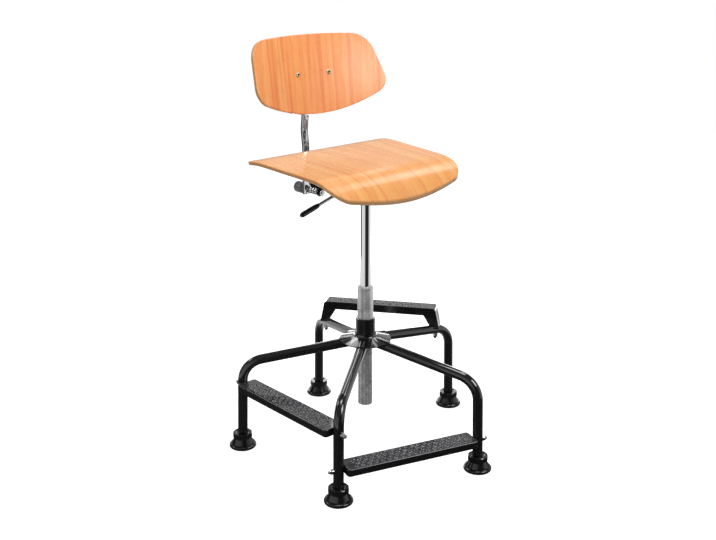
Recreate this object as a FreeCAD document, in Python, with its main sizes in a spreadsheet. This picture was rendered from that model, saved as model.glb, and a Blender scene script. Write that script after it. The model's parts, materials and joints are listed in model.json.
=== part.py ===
"""Swivel work chair on a five-leg tube base with three footrests.

Frame: millimetres, +Z up, the user looks along -Y, the user's left is +X.
Origin: the column axis on the floor.
"""
import FreeCAD, Part
import math
import os
import re

import Sketcher
from FreeCAD import Placement, Rotation, Vector

doc = FreeCAD.newDocument("work_chair")

SIZES = {
    # Tube legs: the arm falls outwards from the hub, bends and leans out to its glide.
    "tube_od": 25.0,
    "tube_wall": 2.0,
    "arm_root_height": 281.0,
    "arm_slope": 9.5,
    "leg_lean": 2.0,
    "bend_radius": 58.0,
    "glide_circle": 319.0,
    # Glides: stepped plastic feet with a socket for the tube; each step counts from the one below.
    "glide_radius": 34.7,
    "glide_rim_height": 10.0,
    "glide_rim_round": 4.2,
    "glide_waist_radius": 28.5,
    "glide_waist_height": 2.0,
    "glide_neck_radius": 22.0,
    "glide_neck_height": 13.0,
    "glide_collar_radius": 24.5,
    "glide_collar_foot": 2.5,
    "glide_height": 40.0,
    "socket_floor": 14.0,
    "socket_gap": 0.1,
    # Hub: a sleeve welded to the arms under a pressed cover; heights count from the arm root.
    "sleeve_od": 50.0,
    "sleeve_foot": 14.0,
    "sleeve_top": 62.0,
    "cover_radius": 65.0,
    "cover_rim_height": 5.0,
    "cover_top_height": 15.0,
    "cover_collar": 6.0,
    "cover_collar_round": 5.0,
    "sheet": 2.5,
    "weld_gap": 0.05,
    # Stand tube, held in the taper of the sleeve; its top counts from the sleeve.
    "stand_od": 40.0,
    "stand_lower_od": 36.5,
    "stand_bore": 32.0,
    "stand_foot": 107.0,
    "stand_top": 81.5,
    "stand_floor": 4.0,
    # Gas spring: its foot counts from the bush, its top down from the seat.
    "running_gap": 0.05,
    "lift_od": 28.0,
    "lift_bore": 24.0,
    "lift_foot": 4.5,
    "lift_cap": 6.0,
    "lift_top": 60.0,
    "lift_taper_length": 46.0,
    "lift_taper_end_od": 26.4,
    "rod_od": 10.0,
    "rod_neck_od": 8.0,
    "piston_length": 14.0,
    "clip_od": 16.0,
    "clip_thickness": 1.5,
    "clip_drop": 2.0,
    "bush_length": 80.0,
    "bush_lip_od": 36.0,
    "bush_lip": 2.0,
    "bearing_od": 26.0,
    "bearing_ring": 5.0,
    "washer": 2.5,
    "thrust_gap": 0.3,
    "valve_od": 6.0,
    "valve_length": 34.0,
    "valve_stand": 8.0,
    # Footrest treads between neighbouring legs; the left one counts down from the bend.
    "tread_width": 57.0,
    "tread_skirt": 18.0,
    "tread_corner": 8.0,
    "tread_edge_round": 3.0,
    "tread_end_gap": 0.25,
    "left_tread_height": 47.58,
    "front_tread_height": 92.0,
    "hole_size": 6.0,
    "hole_pitch": 17.0,
    "hole_row_pitch": 12.0,
    "hole_end_margin": 20.0,
    "bolt_drop": 11.0,
    "bolt_od": 8.0,
    "bolt_gap": 0.2,
    "bolt_head_od": 14.0,
    "bolt_head": 5.0,
    "nut_od": 13.0,
    "nut_length": 13.0,
    # Raised rear footrest, an arch on two arms: above the arm, inside the start of its bend.
    "arch_height": 64.66,
    "arch_width": 40.0,
    "arch_skirt": 21.0,
    "arch_circle": 2.61,
    "arch_foot_spread": 12.0,
    "arch_foot_width": 21.0,
    # Moulded plywood seat; its flat counts from the front and rear edges.
    "ply": 10.0,
    "ply_round": 2.0,
    "seat_height": 744.0,
    "seat_centre": 33.0,
    "seat_depth": 371.0,
    "seat_slope": 3.1,
    "seat_flat_front": 103.5,
    "seat_flat_rear": 91.5,
    "seat_front_roll": 138.0,
    "seat_rear_roll": 200.0,
    "seat_front_width": 416.0,
    "seat_rear_width": 441.0,
    "seat_front_bulge": 23.0,
    "seat_rear_bulge": 4.0,
    "seat_front_corner": 50.0,
    "seat_rear_corner": 57.0,
    # Seat plate inside the seat's flat, and carrier channel; its foot counts down from the lift.
    "plate": 4.0,
    "seat_plate_width": 180.0,
    "seat_plate_front": 2.0,
    "seat_plate_rear": 7.0,
    "seat_screw_od": 5.0,
    "seat_screw_inset": 14.0,
    "seat_screw_bite": 7.0,
    "channel_inside": 44.0,
    "channel_front": 48.0,
    "channel_foot": 32.0,
    "channel_neck": 28.0,
    "channel_tail": 14.0,
    "channel_tail_height": 22.0,
    "taper_socket_od": 40.0,
    "socket_plate_length": 64.0,
    # Release lever; its pivot counts from the valve.
    "lever_pivot_offset": 12.0,
    "lever_pivot_height": 8.5,
    "lever_droop": 16.5,
    "lever_rod_od": 8.0,
    "lever_length": 200.0,
    "grip_od": 13.0,
    "grip_length": 55.0,
    "lever_pin_od": 5.0,
    "lever_boss_od": 12.0,
    "lever_boss_width": 10.0,
    "lever_tongue": 6.0,
    "lever_tongue_reach": 5.0,
    "lug": 3.0,
    "side_gap": 0.3,
    "lever_slot_height": 18.0,
    # Back bar behind the seat, its spring and knob; heights count from its pivot.
    "bar_width": 20.0,
    "bar_thickness": 8.0,
    "bar_plane": 7.5,
    "bar_foot": 14.0,
    "bar_joggle_foot": 55.0,
    "bar_joggle_height": 97.0,
    "bar_joggle_top": 140.0,
    "bar_joggle_depth": 5.0,
    "bar_bend_radius": 60.0,
    "bar_top": 3.0,
    "bar_pivot_height": 38.0,
    "bar_pin_od": 8.0,
    "spacer_od": 14.0,
    "spindle_height": 55.0,
    "spindle_od": 8.0,
    "spindle_slot": 18.0,
    "spindle_lug_plane": 58.0,
    "spindle_lug_drop": 10.0,
    "spindle_lug_width": 20.0,
    "spindle_nut_od": 15.0,
    "spindle_nut": 7.0,
    "spring_wire": 2.8,
    "spring_mean": 15.0,
    "spring_turns": 5.0,
    "knob_washer_od": 20.0,
    "knob_washer": 3.0,
    "knob_od": 29.0,
    "knob_length": 30.0,
    "knob_wall": 6.0,
    "knob_rib_count": 18.0,
    "knob_rib_depth": 1.2,
    # Moulded plywood backrest on its bracket, placed from its hinge pin and the bar.
    "back_centre_plane": 33.0,
    "back_centre_height": 3.0,
    "back_lean": 21.0,
    "back_hollow_radius": 604.0,
    "back_half_height": 100.0,
    "back_top_half_width": 184.0,
    "back_top_corner_height": 82.5,
    "back_foot_half_width": 211.5,
    "back_foot_corner_height": 58.0,
    "back_top_corner": 63.0,
    "back_foot_corner": 39.0,
    "back_screw_spacing": 99.0,
    "back_screw_od": 6.0,
    "back_screw_head_od": 11.0,
    "back_screw_head": 2.6,
    "back_nut_od": 10.0,
    "back_nut": 5.0,
    "bracket_width": 130.0,
    "bracket_height": 36.0,
    "bracket_lug_round": 8.0,
    "back_pin_od": 6.0,
    "back_eye_od": 12.0,
    "back_pin_height": 240.0,
}

# Places that follow from the sizes: each counts from the piece that carries it.
PLACES = {
    "glide_waist": "glide_rim_height + glide_waist_height",
    "glide_neck": "glide_waist + glide_neck_height",
    "glide_collar": "glide_neck + glide_collar_foot",
    "corner_height": "(arm_root_height - tan(arm_slope) * (glide_circle + tan(leg_lean) * socket_floor"
                     " - sleeve_od / 2)) / (1 - tan(arm_slope) * tan(leg_lean))",
    "corner_radius": "glide_circle - tan(leg_lean) * (corner_height - socket_floor)",
    "sleeve_start": "arm_root_height - sleeve_foot",
    "sleeve_end": "arm_root_height + sleeve_top",
    "cover_rim": "arm_root_height + cover_rim_height",
    "cover_crown": "arm_root_height + cover_top_height",
    "stand_end": "sleeve_end + stand_top",
    "lift_start": "stand_end - bush_length - lift_foot",
    "lift_end": "seat_height - lift_top",
    "left_tread": "corner_height - left_tread_height",
    "arch_reach": "corner_radius - arch_circle"
                  " - bend_radius * tan((90 - arm_slope - leg_lean) / 2) * cos(arm_slope)",
    "arch_top": "arm_root_height - tan(arm_slope) * (arch_reach - sleeve_od / 2) + arch_height",
    "channel_start": "lift_end - channel_foot",
    "lever_axis": "lift_end + valve_stand + lever_pivot_height",
    "bar_line": "seat_centre + seat_depth / 2 + bar_plane",
    "bar_pivot": "channel_start + bar_pivot_height",
    "spindle_axis": "bar_pivot - spindle_height",
    "bar_start": "spindle_axis - bar_foot",
    "joggle_start": "bar_pivot + bar_joggle_foot",
    "joggle_middle": "bar_pivot + bar_joggle_height",
    "joggle_end": "bar_pivot + bar_joggle_top",
    "lug_plane": "bar_line - spindle_lug_plane",
    "back_pin": "bar_pivot + back_pin_height",
    "bar_end": "back_pin + bar_top",
    "back_plane": "bar_line - back_centre_plane",
    "back_centre": "back_pin + back_centre_height",
}

LEG_COUNT = 5
LEG_STEP = 360.0 / LEG_COUNT
LEFT_TREAD_FROM = 3
FRONT_TREAD_FROM = 4
ARCH_FROM = 1

sheet = doc.addObject("Spreadsheet::Sheet", "Sizes")
for row, (alias, size) in enumerate(SIZES.items(), start=1):
    sheet.set(f"A{row}", alias)
    sheet.set(f"B{row}", str(size))
    sheet.setAlias(f"B{row}", alias)
doc.recompute()

NAME = re.compile(r"\b(" + "|".join(SIZES) + r")\b")
PLACE = re.compile(r"\b(" + "|".join(PLACES) + r")\b")
nodes = {}


def formula(text):
    """A formula in plain size and place names, as an expression on the sheet."""
    text = str(text)
    while PLACE.search(text):
        text = PLACE.sub(lambda found: f"({PLACES[found[1]]})", text)
    return NAME.sub(r"Sizes.\1", text)


def value(text):
    return float(sheet.evalExpression(formula(text)))


def bind(item, **properties):
    for name, text in properties.items():
        item.setExpression(name, formula(text))


def keep(item, label):
    """Name a finished sub-part; its label names its file."""
    item.Label = label
    nodes[label] = item
    return item


def new_body(name):
    return doc.addObject("PartDesign::Body", name)


def new_sketch(body, role):
    """A sketch on one of the body's own origin planes."""
    drawing = body.newObject("Sketcher::SketchObject", f"{body.Name}_sketch")
    plane = next(f for f in body.Origin.OriginFeatures if f.Role == role)
    drawing.AttachmentSupport = (plane, "")
    drawing.MapMode = "FlatFace"
    return drawing


def pin_point(drawing, geometry, end, x, y):
    """Hold a point of the drawing at two formulas."""
    for kind, text in (("DistanceX", x), ("DistanceY", y)):
        number = drawing.addConstraint(Sketcher.Constraint(kind, -1, 1, geometry, end, value(text)))
        drawing.setExpression(f"Constraints[{number}]", formula(text))


def draw_outline(drawing, corners, closed=True, arcs=None):
    """Edges through corners (x, y) or (x, y, rounding); arcs gives an edge's through point."""
    arcs = arcs or {}
    points = [Vector(value(corner[0]), value(corner[1]), 0) for corner in corners]
    count = len(points) if closed else len(points) - 1
    start_end = {}
    for edge in range(count):
        first, last = points[edge], points[(edge + 1) % len(points)]
        if edge in arcs:
            through = Vector(value(arcs[edge][0]), value(arcs[edge][1]), 0)
            arc = Part.Arc(first, through, last)
            drawing.addGeometry(arc, False)
            turns_left = (through - first).cross(last - through).z > 0
            start_end[edge] = (1, 2) if turns_left else (2, 1)
        else:
            drawing.addGeometry(Part.LineSegment(first, last), False)
            start_end[edge] = (1, 2)
    for edge in range(count if closed else count - 1):
        following = (edge + 1) % count
        drawing.addConstraint(Sketcher.Constraint(
            "Coincident", edge, start_end[edge][1], following, start_end[following][0]))
    for edge in range(count):
        pin_point(drawing, edge, start_end[edge][0], corners[edge][0], corners[edge][1])
    if not closed:
        pin_point(drawing, count - 1, start_end[count - 1][1], corners[-1][0], corners[-1][1])
    for edge, (x, y) in arcs.items():
        through = drawing.addGeometry(Part.Point(Vector(value(x), value(y), 0)), True)
        pin_point(drawing, through, 1, x, y)
        drawing.addConstraint(Sketcher.Constraint("PointOnObject", through, 1, edge))
    for index, corner in enumerate(corners):
        if len(corner) == 3:
            round_corner(drawing, points, index, corner[2])


def round_corner(drawing, points, index, text):
    """Round the corner between two straight edges, the radius held by a formula."""
    corner = points[index]
    before = (points[index - 1] - corner).normalize()
    after = (points[(index + 1) % len(points)] - corner).normalize()
    radius = value(text)
    setback = radius / math.tan(before.getAngle(after) / 2)
    drawing.fillet(
        (index - 1) % len(points), index, corner + before * setback, corner + after * setback,
        radius, True, True)
    arc = max(i for i, g in enumerate(drawing.Geometry) if g.TypeId == "Part::GeomArcOfCircle")
    number = drawing.addConstraint(Sketcher.Constraint("Radius", arc, radius))
    drawing.setExpression(f"Constraints[{number}]", formula(text))


def draw_circle(drawing, x, y, radius):
    centre = Vector(value(x), value(y), 0)
    circle = drawing.addGeometry(Part.Circle(centre, Vector(0, 0, 1), value(radius)), False)
    pin_point(drawing, circle, 3, x, y)
    number = drawing.addConstraint(Sketcher.Constraint("Radius", circle, value(radius)))
    drawing.setExpression(f"Constraints[{number}]", formula(radius))


def pad(body, drawing, length, both_ways=False, backwards=False):
    feature = body.newObject("PartDesign::Pad", f"{body.Name}_pad")
    feature.Profile = drawing
    bind(feature, Length=length)
    feature.Midplane = both_ways
    feature.Reversed = backwards
    return feature


def pocket(body, drawing, length=None, both_ways=False, backwards=False):
    """A cut that has to take material away."""
    doc.recompute()
    before = body.Shape.Volume
    feature = body.newObject("PartDesign::Pocket", f"{body.Name}_pocket")
    feature.Profile = drawing
    feature.Midplane = both_ways
    feature.Reversed = backwards
    if length is None:
        feature.Type = "ThroughAll"
    else:
        bind(feature, Length=length)
    doc.recompute()
    if body.Shape.Volume >= before:
        raise RuntimeError(f"{body.Name}: the pocket cut nothing")
    return feature


def turned(name, corners):
    """A body turned about its own Z axis from a half section (radius, height)."""
    body = new_body(name)
    drawing = new_sketch(body, "XZ_Plane")
    draw_outline(drawing, corners)
    feature = body.newObject("PartDesign::Revolution", f"{name}_turn")
    feature.Profile = drawing
    feature.ReferenceAxis = (drawing, ["V_Axis"])
    feature.Angle = 360
    return body


def extruded(name, role, corners, length, both_ways=False, arcs=None):
    body = new_body(name)
    drawing = new_sketch(body, role)
    draw_outline(drawing, corners, arcs=arcs)
    pad(body, drawing, length, both_ways)
    return body


def box_corners(x_low, x_high, y_low, y_high, rounding=None):
    corners = [(x_low, y_low), (x_high, y_low), (x_high, y_high), (x_low, y_high)]
    return [corner + (rounding,) for corner in corners] if rounding else corners


def round_edges(body, chosen, radius):
    """Round the edges of the body's tip that a test picks out."""
    doc.recompute()
    tip = body.Tip
    picked = [f"Edge{i}" for i, edge in enumerate(tip.Shape.Edges, start=1) if chosen(edge)]
    feature = body.newObject("PartDesign::Fillet", f"{body.Name}_round")
    feature.Base = (tip, picked)
    bind(feature, Radius=radius)
    return feature


def is_upright(edge):
    box = edge.BoundBox
    return box.ZLength > 1.0 and box.XLength < 0.01 and box.YLength < 0.01


def rod(name, radius, length, place):
    """A plain round bar, used for pins and as a cutter."""
    cylinder = doc.addObject("Part::Cylinder", name)
    bind(cylinder, Radius=radius, Height=length)
    cylinder.Placement = place
    return cylinder


def cut(name, base, tools):
    """Base without the tools, checked to have lost material."""
    tool = tools[0]
    if len(tools) > 1:
        tool = doc.addObject("Part::MultiFuse", f"{name}_tools")
        tool.Shapes = tools
    result = doc.addObject("Part::Cut", name)
    result.Base = base
    result.Tool = tool
    doc.recompute()
    if result.Shape.Volume >= base.Shape.Volume:
        raise RuntimeError(f"{name}: the cut took nothing away")
    return result


def group(name, members):
    """Like pieces in one node, as separate solids."""
    bundle = doc.addObject("Part::Compound", name)
    bundle.Links = members
    return keep(bundle, name)


def turn_about_z(angle):
    return Placement(Vector(), Rotation(Vector(0, 0, 1), angle))


def along(direction):
    """The turn that takes +Z to a direction."""
    return Rotation(Vector(0, 0, 1), direction)


LEG_PLACES = [turn_about_z(LEG_STEP * number) for number in range(LEG_COUNT)]


def leg_radius(height):
    """Distance of the leaning leg's axis from the column at a height, as a formula."""
    return f"(glide_circle - tan(leg_lean) * ({height} - socket_floor))"


def arm_height(radius):
    return f"(arm_root_height - tan(arm_slope) * ({radius} - sleeve_od / 2))"


def leg_direction(number):
    angle = math.radians(LEG_STEP * (number - 1))
    return Vector(math.cos(angle), math.sin(angle), 0)


def chord_frame(number, radius, height):
    """Place on the chord from one leg to the next: X along it, Y outwards, Z up."""
    first = leg_direction(number) * value(radius)
    second = leg_direction(number + 1) * value(radius)
    middle = (first + second) / 2 + Vector(0, 0, value(height))
    outwards = Vector(middle.x, middle.y, 0).normalize()
    sideways = outwards.cross(Vector(0, 0, 1))
    return Placement(middle, Rotation(sideways, outwards, Vector(0, 0, 1), "ZXY"))


# Footrest bolts: along the chord at the ends of a tread, and square to the arm under the arch.
def tread_bolt_height(top):
    return f"({top} - bolt_drop)"


def tread_length(top):
    chord = f"2 * {leg_radius(tread_bolt_height(top))} * sin({LEG_STEP / 2})"
    return f"({chord} - tube_od - 2 * tread_end_gap)"


TREADS = {
    "footrest_left": (LEFT_TREAD_FROM, "left_tread"),
    "footrest_front": (FRONT_TREAD_FROM, "front_tread_height"),
}


def bolt_places(number, top):
    """The two bolts of a tread: start at the inside of the end wall, +Z towards the leg."""
    frame = chord_frame(number, leg_radius(tread_bolt_height(top)), tread_bolt_height(top))
    half = value(f"{tread_length(top)} / 2 - sheet")
    ends = []
    for side in (-1, 1):
        turn = Rotation(Vector(0, 1, 0), 90 * side)
        ends.append(frame.multiply(Placement(Vector(side * half, 0, 0), turn)))
    return ends


def arch_bolt_place(number):
    """On the arm's axis, +Z square to the arm and upwards."""
    slope = value("arm_slope")
    lean = Rotation(Vector(0, 1, 0), slope)
    place = Placement(Vector(value("arch_reach"), 0, value(arm_height("arch_reach"))), lean)
    return LEG_PLACES[number - 1].multiply(place)


TREAD_BOLT_PLACES = [place for tread in TREADS.values() for place in bolt_places(*tread)]
ARCH_BOLT_PLACES = [arch_bolt_place(ARCH_FROM), arch_bolt_place(ARCH_FROM + 1)]
BOLT_HOLE = "bolt_od / 2 + bolt_gap"


def bolt_hole_cutters(name):
    cutters = []
    for index, place in enumerate(TREAD_BOLT_PLACES):
        start = place.multiply(Placement(Vector(0, 0, -value("tube_od")), Rotation()))
        cutters.append(rod(f"{name}_bolt_hole_{index}", BOLT_HOLE, "3 * tube_od", start))
    for index, place in enumerate(ARCH_BOLT_PLACES):
        start = place.multiply(Placement(Vector(0, 0, -value("tube_od")), Rotation()))
        cutters.append(rod(f"{name}_arch_hole_{index}", BOLT_HOLE, "2 * tube_od", start))
    return cutters


# Legs: one bent tube each, coped to the hub sleeve, drilled for the footrest bolts.
def bent_tube(number):
    body = new_body(f"leg_{number}_tube")
    path = new_sketch(body, "XZ_Plane")
    root = "sleeve_od / 2 - tube_wall * 4"
    draw_outline(path, [
        (root, arm_height(root)),
        ("corner_radius", "corner_height", "bend_radius"),
        ("glide_circle", "socket_floor")], closed=False)
    doc.recompute()
    section = body.newObject("Sketcher::SketchObject", f"leg_{number}_section")
    section.AttachmentSupport = (path, "Edge1")
    section.MapMode = "NormalToEdge"
    section.MapPathParameter = 0
    draw_circle(section, "0", "0", "tube_od / 2")
    draw_circle(section, "0", "0", "tube_od / 2 - tube_wall")
    pipe = body.newObject("PartDesign::AdditivePipe", f"leg_{number}_pipe")
    pipe.Profile = section
    pipe.Spine = (path, [f"Edge{i}" for i in range(1, 4)])
    cope = new_sketch(body, "XY_Plane")
    draw_circle(cope, "0", "0", "sleeve_od / 2 + weld_gap")
    pocket(body, cope, "4 * arm_root_height", both_ways=True)
    body.Placement = LEG_PLACES[number - 1]
    return body


for number in range(1, LEG_COUNT + 1):
    tube = bent_tube(number)
    doc.recompute()
    touching = [c for c in bolt_hole_cutters(f"leg_{number}")]
    doc.recompute()
    hitting = [c for c in touching if tube.Shape.common(c.Shape).Volume > 1.0]
    for spare in touching:
        if spare not in hitting:
            doc.removeObject(spare.Name)
    keep(cut(f"leg_{number}_drilled", tube, hitting), f"leg_{number}")


# Glides: turned plastic feet, each with a leaning socket for its tube.
for number in range(1, LEG_COUNT + 1):
    foot = turned(f"glide_{number}_blank", [
        ("0", "0"),
        ("glide_radius", "0", "glide_rim_round"),
        ("glide_radius", "glide_rim_height", "glide_rim_round"),
        ("glide_waist_radius", "glide_rim_height"),
        ("glide_waist_radius", "glide_waist"),
        ("glide_neck_radius", "glide_neck"),
        ("glide_collar_radius", "glide_collar"),
        ("glide_collar_radius", "glide_height - 1.5"),
        ("glide_collar_radius - 1.5", "glide_height"),
        ("tube_od / 2 + sheet * 2", "glide_height"),
        ("tube_od / 2 + sheet", "glide_height - sheet"),
        ("0", "glide_height - sheet")])
    lean = Rotation(Vector(0, 1, 0), -value("leg_lean"))
    socket = rod(
        f"glide_{number}_socket", "tube_od / 2 + socket_gap", "glide_height",
        Placement(Vector(0, 0, value("socket_floor")), lean))
    glide = cut(f"glide_{number}_cut", foot, [socket])
    glide.Placement = LEG_PLACES[number - 1].multiply(
        Placement(Vector(value("glide_circle"), 0, 0), Rotation()))
    keep(glide, f"glide_{number}")


# Hub sleeve: a heavy tube with a tapered bore that wedges the stand tube.
keep(turned("hub_sleeve_body", [
    ("stand_lower_od / 2 + weld_gap", "sleeve_start"),
    ("sleeve_od / 2", "sleeve_start"),
    ("sleeve_od / 2", "sleeve_end - 1.5"),
    ("sleeve_od / 2 - 1.5", "sleeve_end"),
    ("stand_od / 2 + weld_gap", "sleeve_end")]), "hub_sleeve")


# Hub cover: a pressed cone with a ridge over each arm, drawn up to a collar round the sleeve.
COLLAR_INSIDE = "(sleeve_od / 2 + weld_gap)"
COLLAR_OUTSIDE = f"({COLLAR_INSIDE} + sheet)"
cover_cone = turned("cover_outside", [
    (COLLAR_INSIDE, "sleeve_start"),
    ("cover_radius", "sleeve_start"),
    ("cover_radius", "cover_rim"),
    (COLLAR_OUTSIDE, "cover_crown", "cover_collar_round"),
    (COLLAR_OUTSIDE, "cover_crown + cover_collar"),
    (COLLAR_INSIDE, "cover_crown + cover_collar")])


def arm_axis_place(number, radius):
    """On the arm's axis at a radius, +Z outwards along the arm."""
    slope = Rotation(Vector(0, 1, 0), 90 + value("arm_slope"))
    start = Vector(value(radius), 0, value(arm_height(radius)))
    return LEG_PLACES[number - 1].multiply(Placement(start, slope))


ridge_length = "(cover_radius - sleeve_od / 2) / cos(arm_slope)"
ridges = [
    rod(f"cover_ridge_{n}", "tube_od / 2 + sheet", ridge_length, arm_axis_place(n, "sleeve_od / 2"))
    for n in range(1, LEG_COUNT + 1)]
cover_form = doc.addObject("Part::MultiFuse", "cover_form")
cover_form.Shapes = [cover_cone] + ridges
arm_cutters = [
    rod(f"cover_arm_{n}", "tube_od / 2 + weld_gap", "cover_radius * 2", arm_axis_place(n, "0"))
    for n in range(1, LEG_COUNT + 1)]
under_cone = turned("cover_inside", [
    ("0", "sleeve_start - tube_od"),
    ("cover_radius * 2", "sleeve_start - tube_od"),
    ("cover_radius * 2", "cover_rim - sheet"),
    ("cover_radius", "cover_rim - sheet"),
    ("0", "cover_rim - sheet"
          f" + (cover_crown - cover_rim) * cover_radius / (cover_radius - {COLLAR_OUTSIDE})")])
sleeve_core = rod(
    "cover_sleeve", COLLAR_INSIDE, "sleeve_end", Placement(Vector(), Rotation()))
doc.recompute()
keep(cut("hub_cover_cut", cover_form, arm_cutters + [under_cone, sleeve_core]), "hub_cover")


# Stand tube: tapers through the sleeve, closed at its foot around the rod's neck.
keep(turned("stand_tube_body", [
    ("rod_neck_od / 2 + running_gap", "stand_foot"),
    ("stand_lower_od / 2", "stand_foot"),
    ("stand_lower_od / 2", "sleeve_start"),
    ("stand_od / 2", "sleeve_end"),
    ("stand_od / 2", "stand_end"),
    ("stand_bore / 2", "stand_end"),
    ("stand_bore / 2", "stand_foot + stand_floor"),
    ("rod_neck_od / 2 + running_gap", "stand_foot + stand_floor")]), "stand_tube")

keep(turned("guide_bush_body", [
    ("lift_od / 2 + running_gap", "stand_end - bush_length"),
    ("stand_bore / 2 - running_gap", "stand_end - bush_length"),
    ("stand_bore / 2 - running_gap", "stand_end"),
    ("bush_lip_od / 2", "stand_end"),
    ("bush_lip_od / 2", "stand_end + bush_lip"),
    ("lift_od / 2 + running_gap", "stand_end + bush_lip")]), "guide_bush")


# Thrust bearing on the floor of the stand tube.
BEARING_FOOT = "stand_foot + stand_floor"
RING_FOOT = f"{BEARING_FOOT} + washer"
RING_TOP = f"{RING_FOOT} + bearing_ring"
SHOULDER = f"{RING_TOP} + thrust_gap + washer"


def ring(name, inner, outer, foot, top):
    return keep(turned(f"{name}_body", [(inner, foot), (outer, foot), (outer, top), (inner, top)]), name)


ring("bearing_lower_washer", "rod_neck_od / 2 + side_gap", "bearing_od / 2", BEARING_FOOT, RING_FOOT)
ring("bearing_ring", "rod_od / 2 + side_gap", "bearing_od / 2 - side_gap", RING_FOOT, RING_TOP)
ring("bearing_upper_washer", "rod_neck_od / 2 + running_gap", "bearing_od / 2",
     f"{RING_TOP} + thrust_gap", SHOULDER)


# Gas spring: the piston rod stands on the bearing, the cylinder slides on its piston.
CLIP_TOP = "stand_foot - thrust_gap"
PISTON_FOOT = "lift_start + lift_cap + washer"
keep(turned("piston_rod_body", [
    ("0", f"{CLIP_TOP} - clip_thickness - clip_drop"),
    ("rod_neck_od / 2", f"{CLIP_TOP} - clip_thickness - clip_drop"),
    ("rod_neck_od / 2", f"{CLIP_TOP} - clip_thickness"),
    ("rod_neck_od / 2 - 1", f"{CLIP_TOP} - clip_thickness"),
    ("rod_neck_od / 2 - 1", CLIP_TOP),
    ("rod_neck_od / 2", CLIP_TOP),
    ("rod_neck_od / 2", SHOULDER),
    ("rod_od / 2", SHOULDER),
    ("rod_od / 2", PISTON_FOOT),
    ("lift_bore / 2 - running_gap", PISTON_FOOT),
    ("lift_bore / 2 - running_gap", f"{PISTON_FOOT} + piston_length"),
    ("0", f"{PISTON_FOOT} + piston_length")]), "piston_rod")
ring("retaining_clip", "rod_neck_od / 2 - 1 + weld_gap", "clip_od / 2",
     f"{CLIP_TOP} - clip_thickness", CLIP_TOP)

VALVE_HOLE = "valve_od / 2 + running_gap"
keep(turned("lift_tube_body", [
    ("rod_od / 2 + running_gap", "lift_start"),
    ("lift_od / 2", "lift_start"),
    ("lift_od / 2", "lift_end - lift_taper_length"),
    ("lift_taper_end_od / 2", "lift_end"),
    (VALVE_HOLE, "lift_end"),
    (VALVE_HOLE, "lift_end - lift_cap"),
    ("lift_bore / 2", "lift_end - lift_cap"),
    ("lift_bore / 2", "lift_start + lift_cap"),
    ("rod_od / 2 + running_gap", "lift_start + lift_cap")]), "lift_tube")
VALVE_TOP = "lift_end + valve_stand"
keep(turned("valve_pin_body", [
    ("0", f"{VALVE_TOP} - valve_length"),
    ("valve_od / 2", f"{VALVE_TOP} - valve_length"),
    ("valve_od / 2", f"{VALVE_TOP} - 1.5"),
    ("valve_od / 2 - 1.5", VALVE_TOP),
    ("0", VALVE_TOP)]), "valve_pin")


# Footrest treads: pressed trays with rows of holes, end walls drilled for the bolts.
def tread(label, number, top):
    body = new_body(f"{label}_body")
    plan = new_sketch(body, "XY_Plane")
    half = f"{tread_length(top)} / 2"
    draw_outline(plan, box_corners(
        f"-{half}", half, "-tread_width / 2", "tread_width / 2", "tread_corner"))
    pad(body, plan, "tread_skirt", backwards=True)
    round_edges(body, lambda edge: edge.BoundBox.ZMin > -0.01, "tread_edge_round")
    inside = new_sketch(body, "XY_Plane")
    draw_outline(inside, box_corners(
        f"-{half} + sheet", f"{half} - sheet", "-tread_width / 2 + sheet", "tread_width / 2 - sheet",
        "tread_corner - sheet"))
    bind(inside, **{"AttachmentOffset.Base.z": "-sheet"})
    pocket(body, inside, "tread_skirt")
    punched_holes(body, f"{half} - hole_end_margin", 2)
    body.Placement = chord_frame(number, leg_radius(tread_bolt_height(top)), top)
    holes = [
        rod(f"{label}_hole_{i}", BOLT_HOLE, "2 * bolt_od",
            place.multiply(Placement(Vector(0, 0, -value("bolt_od")), Rotation())))
        for i, place in enumerate(bolt_places(number, top))]
    doc.recompute()
    keep(cut(f"{label}_cut", body, holes), label)


def punched_holes(body, half_run, rows):
    """Staggered rows of round holes through the top, along the length."""
    drawing = new_sketch(body, "XY_Plane")
    for row in range(-rows, rows):
        shift = 0.25 if row % 2 else -0.25
        draw_circle(
            drawing, f"-({half_run}) + hole_pitch * {0.5 + shift}", f"hole_row_pitch * {row + 0.5}",
            "hole_size / 2")
    punch = pocket(body, drawing, "2 * sheet")
    pattern = body.newObject("PartDesign::LinearPattern", f"{body.Name}_pattern")
    pattern.Originals = [punch]
    pattern.Direction = (drawing, ["H_Axis"])
    count = int(value(f"2 * ({half_run})") // value("hole_pitch"))
    bind(pattern, Length=f"hole_pitch * {count - 1}")
    pattern.Occurrences = count
    body.Tip = pattern


for label, (number, top) in TREADS.items():
    tread(label, number, top)


# Rear footrest: a pressed arch whose ends stand on two arms, saddled to the tubes.
ARCH_HALF = f"(arch_reach * sin({LEG_STEP / 2}))"
ARM_AXIS = f"({arm_height('arch_reach')} - arch_top)"
ARCH_FOOT = f"({ARM_AXIS} + tube_od / 4)"
ARCH_FLOOR = f"({ARM_AXIS} + tube_od / 2 + 3 * sheet)"


def arch_end(height):
    """Half length of the arch at a height below its top; the ends spread towards the feet."""
    return f"({ARCH_HALF} + arch_foot_width / 2 - arch_foot_spread * (1 - ({height}) / {ARCH_FOOT}))"


ARCH_INNER = f"({ARCH_HALF} - arch_foot_width / 2)"
ARCH_SPAN = f"({ARCH_INNER} - arch_foot_spread - arch_skirt / 2)"


def is_crown_corner(edge):
    box = edge.BoundBox
    return box.YLength > 1.0 and box.ZMin > -value("2 * sheet")


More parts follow.
